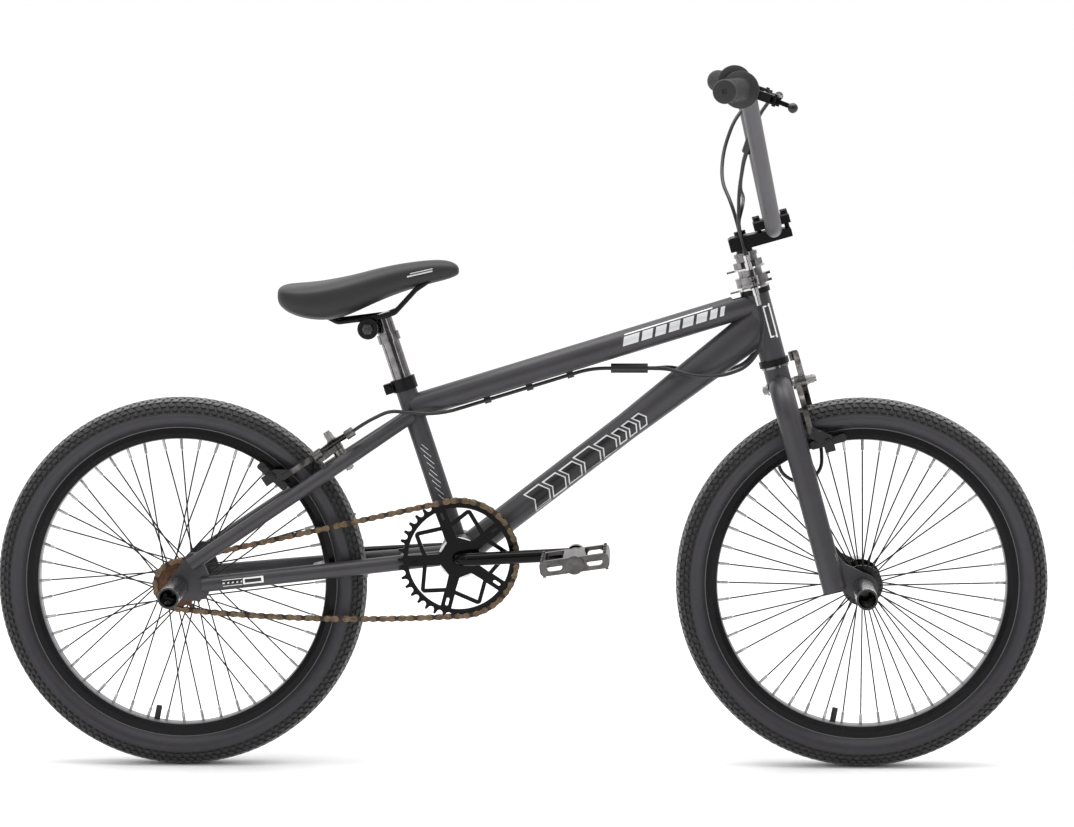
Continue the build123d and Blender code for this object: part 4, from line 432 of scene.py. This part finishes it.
# Each row: distance round the section from the middle, step along, width, length, skew.
rows = [(-29.6, 0.0, 4.6, 7.4, 0.6), (-22.9, 0.5, 6.0, 8.2, 2.2), (-15.3, 0.0, 6.2, 8.6, -2.4),
        (-7.7, 0.5, 6.0, 8.6, 2.4), (0.0, 0.0, 6.0, 8.8, 0.0), (7.7, 0.5, 6.0, 8.6, -2.4),
        (15.3, 0.0, 6.2, 8.6, 2.4),
        (22.9, 0.5, 6.0, 8.2, -2.2), (29.6, 0.0, 4.6, 7.4, -0.6)]
one_pitch = [flat_block(u, step * pitch_long, width, length, skew) for u, step, width, length, skew in rows]


def build_tyre(end):
    centre = Vector((wheel_x[end], 0, axle_height))
    outline = [(-y, r) for y, r in reversed(whole_wall)] + [(-y, r) for y, r in reversed(tread_base[1:])]
    outline += tread_base + whole_wall
    inner = [(whole_wall[-1][0] - 1.5, whole_wall[-1][1] + 2), (22.5, tyre_outside - 27), (18, tyre_outside - 13),
             (0, tyre_outside - 7.5)]
    outline += inner + [(-y, r) for y, r in reversed(inner[:-1])]
    tyre = turned(f"{end}_tyre_casing", outline, centre, (0, 1, 0), tyre_material[end], f"{end}_wheel",
                  steps=192, sharp_deg=50)
    verts, faces = [], []
    for turn in range(pitches):
        for block_verts, block_faces in one_pitch:
            first = len(verts)
            for u, along, up in block_verts:
                across, radius = tread_point(u, up)
                angle = 2 * math.pi * turn / pitches + along / tyre_outside
                verts.append(centre + Vector((math.cos(angle) * radius, across, math.sin(angle) * radius)) * MM)
            faces += [tuple(first + i for i in face) for face in block_faces]
    tread = mesh_piece(f"{end}_tyre_tread", verts, faces, tyre_material[end], f"{end}_wheel", sharp_deg=30)
    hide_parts(f"{end}_tyre")
    return tyre, tread


for end in wheel_x:
    build_tyre(end)

# ---------- chain ----------
pitch = 12.7
ring_teeth, cog_teeth = 39, 16
run_links, ring_links, cog_links = 30, 21, 7
ring_circle = pitch / 2 / math.sin(math.pi / ring_teeth)
cog_circle = pitch / 2 / math.sin(math.pi / cog_teeth)
cog_middle = Vector(((wheel_x["rear"] - bracket.x) / MM, (axle_height - bracket.z) / MM))
chain_y = middle("chain_outer_links").y


def polar(radius, angle):
    return Vector((math.cos(angle) * radius, math.sin(angle) * radius))


def roller_middles():
    """The rollers' middles in order, ahead of and above the bottom bracket, in millimetres."""
    stay = cog_middle.length
    leave = math.asin(-cog_middle.y / stay) + math.pi / 2 + math.asin((ring_circle - cog_circle) / stay)
    start = polar(ring_circle, leave)
    to_start = start - cog_middle
    opening = (to_start.length**2 + cog_circle**2 - (run_links * pitch) ** 2) / (2 * to_start.length * cog_circle)
    cog_top = math.atan2(to_start.y, to_start.x) + math.acos(opening)
    end = cog_middle + polar(cog_circle, cog_top)
    spots = [start + (end - start) * (n / run_links) for n in range(run_links)]
    spots += [cog_middle + polar(cog_circle, cog_top + 2 * math.pi / cog_teeth * n) for n in range(cog_links + 1)]
    hang_end = polar(ring_circle, leave - 2 * math.pi / ring_teeth * ring_links)
    hang = hang_end - spots[-1]
    low_bend, high_bend = 0.0001, 0.05
    for _ in range(60):
        bend = (low_bend + high_bend) / 2
        if math.sin(run_links * bend / 2) / math.sin(bend / 2) > hang.length / pitch:
            low_bend = bend
        else:
            high_bend = bend
    heading = math.atan2(hang.y, hang.x) - (run_links - 1) * bend / 2
    for n in range(run_links - 1):
        spots.append(spots[-1] + polar(pitch, heading + bend * n))
    spots += [polar(ring_circle, leave - 2 * math.pi / ring_teeth * (ring_links - n)) for n in range(ring_links)]
    return spots


def plate_outline(end_radius, waist):
    """A chain plate's side outline: two round ends and a narrower waist."""
    points = []
    for end, first in ((1, -110), (-1, 70)):
        for step in range(6):
            points.append(Vector((end * pitch / 2, 0)) + polar(end_radius, math.radians(first + step * 44)))
        points.append(Vector((0, end * waist)))
    return points


def chain_part(outline, low, high, edge=0.3):
    """The outline given a thickness across the chain, with its outer edges turned in."""
    bpy.ops.object.select_all(action="DESELECT")
    bpy.ops.mesh.primitive_circle_add(vertices=len(outline), radius=1, fill_type="NGON")
    part = bpy.context.object
    for vertex, point in zip(part.data.vertices, outline):
        vertex.co = (point.x, low, point.y)
    only(part)
    bpy.ops.object.mode_set(mode="EDIT")
    bpy.ops.mesh.select_all(action="SELECT")
    bpy.ops.mesh.extrude_region_move(TRANSFORM_OT_translate={"value": (0, high - low, 0)})
    bpy.ops.mesh.select_all(action="SELECT")
    bpy.ops.mesh.normals_make_consistent(inside=False)
    bpy.ops.object.mode_set(mode="OBJECT")
    soften = part.modifiers.new("edge", "BEVEL")
    soften.width = edge
    soften.segments = 1
    soften.limit_method = "ANGLE"
    soften.angle_limit = math.radians(50)
    bpy.ops.object.modifier_apply(modifier="edge")
    made = [v.co.copy() for v in part.data.vertices], [tuple(f.vertices) for f in part.data.polygons]
    bpy.data.objects.remove(part)
    return made


def round_part(x, radius, low, high, edge=0.25):
    return chain_part([Vector((x, 0)) + polar(radius, 2 * math.pi * n / 10) for n in range(10)], low, high, edge)


def lay_links(name, node, parts, links, material):
    verts, faces = [], []
    for start, end in links:
        spot = (start + end) / 2
        turn = math.atan2((end - start).y, (end - start).x)
        c, s = math.cos(turn), math.sin(turn)
        for part_verts, part_faces in parts:
            first = len(verts)
            verts += [Vector((bracket.x + (spot.x + v.x * c - v.z * s) * MM, chain_y + v.y * MM,
                              bracket.z + (spot.y + v.x * s + v.z * c) * MM)) for v in part_verts]
            faces += [tuple(first + i for i in face) for face in part_faces]
    chain = mesh_piece(name, verts, faces, material, "frame", sharp_deg=40)
    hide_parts(node)


spots = roller_middles()
links = [(spots[n], spots[(n + 1) % len(spots)]) for n in range(len(spots))]
inner_parts = [chain_part(plate_outline(4.1, 2.7), 1.9, 2.9), chain_part(plate_outline(4.1, 2.7), -2.9, -1.9)]
inner_parts += [round_part(end * pitch / 2, 3.9, -1.85, 1.85) for end in (-1, 1)]
outer_parts = [chain_part(plate_outline(4.1, 2.5), 3.1, 4.1), chain_part(plate_outline(4.1, 2.5), -4.1, -3.1)]
outer_parts += [round_part(end * pitch / 2, 1.9, -4.6, 4.6) for end in (-1, 1)]
lay_links("chain_inner_plates", "chain_inner_links", inner_parts, links[0::2], chain_brown)
lay_links("chain_outer_plates", "chain_outer_links", outer_parts, links[1::2], chain_worn)

# ---------- grips ----------
grip_low, grip_high = (Vector(v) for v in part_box("handlebar_grips"))
grip_slope = 0.204
grip_outer_y = 336.0
grip_inner_y = 224.5
grip_height = (grip_low.z + grip_high.z) / 2
grip_long = (grip_outer_y - grip_inner_y) * math.sqrt(1 + grip_slope**2)
grip_front_x = grip_high.x - 24.5 * MM * math.cos(math.atan(grip_slope))
for hand in (-1, 1):
    inner = Vector((grip_front_x, hand * grip_inner_y * MM, grip_height))
    axis = Vector((-grip_slope, hand, 0)).normalized()
    outline = [(0.0, 11.3), (0.0, 23.2), (0.8, 24.4), (3.0, 24.4), (3.9, 23.2), (4.6, 17.0)]
    place = 6.0
    while place < grip_long - 9:
        outline += [(place, 14.6), (place + 0.35, 15.5), (place + 1.5, 15.5), (place + 1.85, 14.6)]
        place += 2.7
    outline += [(place, 15.4), (grip_long - 2.5, 15.6), (grip_long - 0.6, 14.6), (grip_long, 12.6),
                (grip_long, 3.4), (grip_long - 1.6, 2.4), (grip_long - 1.6, 0.05), (grip_long - 3.2, 0.05),
                (grip_long - 3.2, 11.3)]
    turned(f"{'left' if hand > 0 else 'right'}_grip_ribbed", outline, inner, axis, grip_rubber, "fork",
           steps=56)
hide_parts("handlebar_grips")

# ---------- saddle ----------
# Stations from tail to nose: place, half width, top, lower edge of the cover (millimetres).
stations = [(-327, 34, 652, 637), (-324, 47, 655, 630), (-315, 58, 657, 622), (-298, 64, 658, 614.5),
            (-275, 65.5, 660, 610), (-250, 60, 664.5, 610.5), (-228, 49, 669.5, 617.5), (-208, 38, 675, 627),
            (-182, 30, 681.5, 638.5), (-158, 25, 686, 647.5), (-132, 21.5, 689.5, 655.5), (-110, 19.5, 690.8, 661),
            (-95, 16.5, 689, 665), (-86, 11.5, 684, 669), (-83, 6, 679, 672)]
round_count = 28


def saddle_section(x, half, top, low):
    """A cover section: crowned top, full sides tucked under the shell's edge."""
    points = []
    middle_z = low + (top - low) * 0.5
    for step in range(round_count):
        angle = 2 * math.pi * step / round_count
        c, s = math.cos(angle), math.sin(angle)
        boxy = 0.8 - 0.32 * min(1.0, max(0.0, (half - 20) / 38))
        y = half * math.copysign(abs(c) ** boxy, c)
        if s > 0:
            z = middle_z + (top - middle_z) * abs(s) ** boxy
            y *= 1 - 0.05 * s
        else:
            z = middle_z - (middle_z - low) * abs(s) ** 0.7
            y *= 1 + 0.03 * s
        points.append((x * MM, y * MM, z * MM))
    return points


verts = [p for station in stations for p in saddle_section(*station)]
faces = []
for ring in range(len(stations) - 1):
    for step in range(round_count):
        a = ring * round_count + step
        b = ring * round_count + (step + 1) % round_count
        faces.append((a, b, b + round_count, a + round_count))
faces.append(tuple(range(round_count)))
faces.append(tuple(range(len(verts) - round_count, len(verts))))
saddle = mesh_piece("saddle_cover", verts, faces, vinyl, "saddle")
only(saddle)
rounding = saddle.modifiers.new("rounding", "SUBSURF")
rounding.levels = rounding.render_levels = 2
bpy.ops.object.modifier_apply(modifier="rounding")
bpy.ops.object.shade_smooth()
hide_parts("saddle_cushion")

# ---------- saddle clamp's ringed washers ----------
for hand in (-1, 1):
    outline = [(31.6, 4.3), (32.4, 4.6)]
    for ring in range(4):
        start = 6.6 + ring * 1.9
        outline += [(32.0, start), (32.7, start + 0.5), (32.7, start + 1.2), (32.0, start + 1.6)]
    outline += [(31.6, 14.2), (30.4, 14.2), (30.4, 4.3)]
    turned(f"{'left' if hand > 0 else 'right'}_clamp_rings", outline, saddle_pivot, (0, hand, 0), lever_black,
           "saddle", steps=48)


# ---------- decals: plain bars and chevrons in place of lettering ----------
def side_decal(name, node, shapes, material, body, lift=0.00018, both=True):
    """Flat shapes in the side view (corner lists in millimetres), laid on a node from each side."""
    target = nodes[node] if node in nodes else bpy.data.objects[node]
    pieces = []
    for hand in ((-1, 1) if both else (-1,)):
        verts, faces = [], []
        for corners in shapes:
            a, b, c, d = [Vector((x * MM, 0, z * MM)) for x, z in corners]
            count_u = max(2, int((b - a).length / 0.003))
            count_v = max(2, int((d - a).length / 0.003))
            first = len(verts)
            for i in range(count_u + 1):
                for j in range(count_v + 1):
                    u, v = i / count_u, j / count_v
                    point = (a * (1 - u) + b * u) * (1 - v) + (d * (1 - u) + c * u) * v
                    verts.append((point.x, hand * 0.2, point.z))
            for i in range(count_u):
                for j in range(count_v):
                    k = first + i * (count_v + 1) + j
                    faces.append((k, k + 1, k + count_v + 2, k + count_v + 1))
        mesh = bpy.data.meshes.new(name)
        mesh.from_pydata(verts, [], faces)
        piece = bpy.data.objects.new(f"{name}_{'left' if hand > 0 else 'right'}", mesh)
        bpy.context.scene.collection.objects.link(piece)
        only(piece)
        lay = piece.modifiers.new("lay", "SHRINKWRAP")
        lay.target = target
        lay.wrap_method = "PROJECT"
        lay.use_project_y = True
        lay.use_negative_direction = hand > 0
        lay.use_positive_direction = hand < 0
        lay.offset = lift
        bpy.ops.object.modifier_apply(modifier="lay")
        off = [v.index for v in piece.data.vertices if abs(abs(v.co.y) - 0.2) < 1e-4]
        if off:
            bpy.ops.object.mode_set(mode="EDIT")
            bpy.ops.mesh.select_all(action="DESELECT")
            bpy.ops.object.mode_set(mode="OBJECT")
            for index in off:
                piece.data.vertices[index].select = True
            bpy.ops.object.mode_set(mode="EDIT")
            bpy.ops.mesh.delete(type="VERT")
            bpy.ops.object.mode_set(mode="OBJECT")
        piece.data.materials.append(material)
        bpy.ops.object.shade_smooth()
        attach(piece, body)
        pieces.append(piece)
    return pieces


def slanted(origin, along, up, start, end, low, high, lean):
    """A slanted bar in a tube's own side view: along it, across it."""
    def spot(s, t):
        return (origin[0] + along[0] * s + up[0] * t, origin[1] + along[1] * s + up[1] * t)
    return [spot(start + low * lean, low), spot(end + low * lean, low), spot(end + high * lean, high),
            spot(start + high * lean, high)]


def tube_line(rear, front):
    long = math.hypot(front[0] - rear[0], front[1] - rear[1])
    along = ((front[0] - rear[0]) / long, (front[1] - rear[1]) / long)
    return along, (-along[1], along[0])


def chevron(line, along, up, start, width, half, lean, edge=0.0):
    """An arrow-shaped mark of two slanted quads, pointing along the tube."""
    lower = slanted(line, along, up, start + edge, start + width - edge, -half + edge, 0, lean)
    upper = slanted(line, along, up, start + edge, start + width - edge, 0, half - edge, -lean)
    return [lower, upper]


top_rear, top_front = (-148.0, 490.0), (320.3, 634.0)
along, up = tube_line(top_rear, top_front)
widths = [22, 15, 15, 15, 15, 15, 10, 6]
starts = [300 + sum(widths[:n]) + 4.2 * n for n in range(len(widths))]
bars = [slanted(top_rear, along, up, start, start + width, -3.5, 8.5, 0.45) for start, width in zip(starts, widths)]
bars.append(slanted(top_rear, along, up, 300, 424, 10.2, 11.6, 0.45))
side_decal("top_tube_bars", "top_tube", bars, decal_silver, "frame")

down_rear, down_front = (-82.75, 289.5), (341.0, 608.7)
along, up = tube_line(down_rear, down_front)
rims, fills = [], []
marks = [(26, 14.5), (23, 13.5), (23, 12.5), (28, 15), (23, 12.5), (13, 10.5), (13, 10.5), (13, 10.5)]
start = 127.0
for width, half in marks:
    rims += chevron(down_rear, along, up, start, width, half, 0.6)
    fills += chevron(down_rear, along, up, start, width, half, 0.6, edge=1.9)
    start += width + 4
side_decal("down_tube_chevrons", "down_tube", rims, decal_silver, "frame")
side_decal("down_tube_chevron_fills", "down_tube", fills, decal_black, "frame", lift=0.0003)

stay_line, stay_front = (-462.0, 252.0), (-82.75, 289.5)
along, up = tube_line(stay_line, stay_front)
side_decal("chain_stay_label", "chain_stays",
           [slanted(stay_line, along, up, 62, 88, -4.5, 4.5, 0),
            slanted(stay_line, along, up, 89.5, 117, -4.5, 4.5, 0)],
           decal_white, "frame")
side_decal("chain_stay_label_marks", "chain_stays",
           [slanted(stay_line, along, up, 65 + 6 * n, 68.5 + 6 * n, -2.6, 2.6, 0.3) for n in range(4)]
           + [slanted(stay_line, along, up, 92, 114, -2.4, 2.4, 0)],
           decal_black, "frame", lift=0.0003)

seat_line, seat_top = (-82.75, 289.5), (-160.6, 529.2)
along, up = tube_line(seat_line, seat_top)
side_decal("seat_tube_strokes", "seat_tube",
           [slanted(seat_line, along, up, 84 + 9 * n, 85.4 + 9 * n, -6 + n % 3, 2 + n % 4, 1.6) for n in range(9)],
           decal_silver, "frame")

fork_top, fork_low = (355.0, 540.0), (437.0, 275.0)
along, up = tube_line(fork_top, fork_low)
side_decal("fork_foot_marks", "fork_legs",
           [slanted(fork_top, along, up, 244, 247, -6, 6, 0), slanted(fork_top, along, up, 250, 260, -6, -1, 0),
            slanted(fork_top, along, up, 250, 260, 1, 6, 0)],
           decal_white, "fork")

head_low, head_top = (341.2, 556.1), (317.4, 644.9)
along, up = tube_line(head_low, head_top)
side_decal("head_badge_edge", "head_tube",
           [slanted(head_low, along, up, 28, 76, -14, -12.2, 0), slanted(head_low, along, up, 30, 32, -12.2, -4, 0),
            slanted(head_low, along, up, 72, 74, -12.2, -4, 0), slanted(head_low, along, up, 30, 74, -5.8, -4, 0)],
           decal_white, "frame")

side_decal("saddle_side_stripe", "saddle_cover",
           [[(-152, 668), (-118, 675.5), (-118, 677.5), (-152, 670)],
            [(-148, 672.5), (-118, 679), (-118, 680.2), (-148, 673.7)]],
           decal_silver, "saddle", lift=0.0003)

# ---------- stage, lights, camera ----------
bpy.ops.mesh.primitive_plane_add(size=1, location=(0, 0, 0))
floor = bpy.context.object
floor.name = "studio_floor"
for vertex in floor.data.vertices:
    vertex.co = (vertex.co.x * 16, vertex.co.y * 16 + 2.0, 0)
paper, paper_tree, paper_shader, paper_place = new_material("white_paper_floor")
paper_noise = add(paper_tree, "ShaderNodeTexNoise", {"Scale": 3.0, "Detail": 2.0}, {"Vector": paper_place})
paper_tone = add(paper_tree, "ShaderNodeValToRGB", links={"Fac": paper_noise.outputs["Fac"]},
                 stops=[(0.3, linear("#f7f7f7")), (0.7, linear("#fbfbfb"))])
paper_tree.links.new(paper_tone.outputs["Color"], paper_shader.inputs["Base Color"])
paper_shader.inputs["Roughness"].default_value = 0.9
floor.data.materials.append(paper)

world = bpy.data.worlds.new("studio")
bpy.context.scene.world = world
world.use_nodes = True
air = world.node_tree
sky = next(n for n in air.nodes if n.type == "BACKGROUND")
# The room: bright above and behind the bicycle, dimmer on the side it is seen from.
room = add(air, "ShaderNodeTexCoord").outputs["Generated"]
room_parts = add(air, "ShaderNodeSeparateXYZ", links={"Vector": room})
behind = add(air, "ShaderNodeMapRange", {"From Min": -1.0, "From Max": 1.0, "To Min": 0.10, "To Max": 1.0},
             {"Value": room_parts.outputs["Y"]})
above = add(air, "ShaderNodeMapRange", {"From Min": 0.05, "From Max": 1.0, "To Min": 0.0, "To Max": 0.9},
            {"Value": room_parts.outputs["Z"]})
glow = add(air, "ShaderNodeMath", links={0: behind.outputs[0], 1: above.outputs[0]}, operation="ADD")
seen = add(air, "ShaderNodeLightPath").outputs["Is Camera Ray"]
level = add(air, "ShaderNodeMix", {3: 1.0}, {0: seen, 2: glow.outputs[0]}, data_type="FLOAT")
air.links.new(level.outputs[0], sky.inputs["Strength"])
sky.inputs["Color"].default_value = (1, 1, 1, 1)
bpy.context.scene.view_settings.view_transform = "Standard"


def soft_box(name, place, aim, size, power):
    data = bpy.data.lights.new(name, "AREA")
    data.shape = "RECTANGLE"
    data.size, data.size_y = size
    data.energy = power
    lamp = bpy.data.objects.new(name, data)
    bpy.context.scene.collection.objects.link(lamp)
    lamp.location = place
    lamp.rotation_mode = "QUATERNION"
    lamp.rotation_quaternion = (Vector(aim) - Vector(place)).to_track_quat("-Z", "Y")


soft_box("overhead_box", (0.0, -0.2, 3.2), (0, 0, 0.4), (3.8, 1.8), 75)
soft_box("front_left_box", (-2.4, -3.0, 1.9), (0, 0, 0.45), (0.7, 2.0), 11)
soft_box("front_right_box", (2.6, -3.0, 1.6), (0, 0, 0.45), (0.7, 2.0), 8)

camera_place = Vector((0.1962, -5.3497, 1.0377))
yaw, pitch, roll = math.radians(1.867), math.radians(5.93), math.radians(-0.12)
forward = Vector((-math.sin(yaw) * math.cos(pitch), math.cos(yaw) * math.cos(pitch), -math.sin(pitch)))
right = Vector((math.cos(yaw), math.sin(yaw), 0))
upward = right.cross(forward)
right, upward = (right * math.cos(roll) + upward * math.sin(roll), upward * math.cos(roll) - right * math.sin(roll))
camera_data = bpy.data.cameras.new("view_camera")
camera_data.sensor_width = 36.0
camera_data.lens = 133.07
camera = bpy.data.objects.new("view_camera", camera_data)
bpy.context.scene.collection.objects.link(camera)
camera.matrix_world = Matrix((
    (right.x, upward.x, -forward.x, camera_place.x),
    (right.y, upward.y, -forward.y, camera_place.y),
    (right.z, upward.z, -forward.z, camera_place.z),
    (0, 0, 0, 1)))
bpy.context.scene.camera = camera
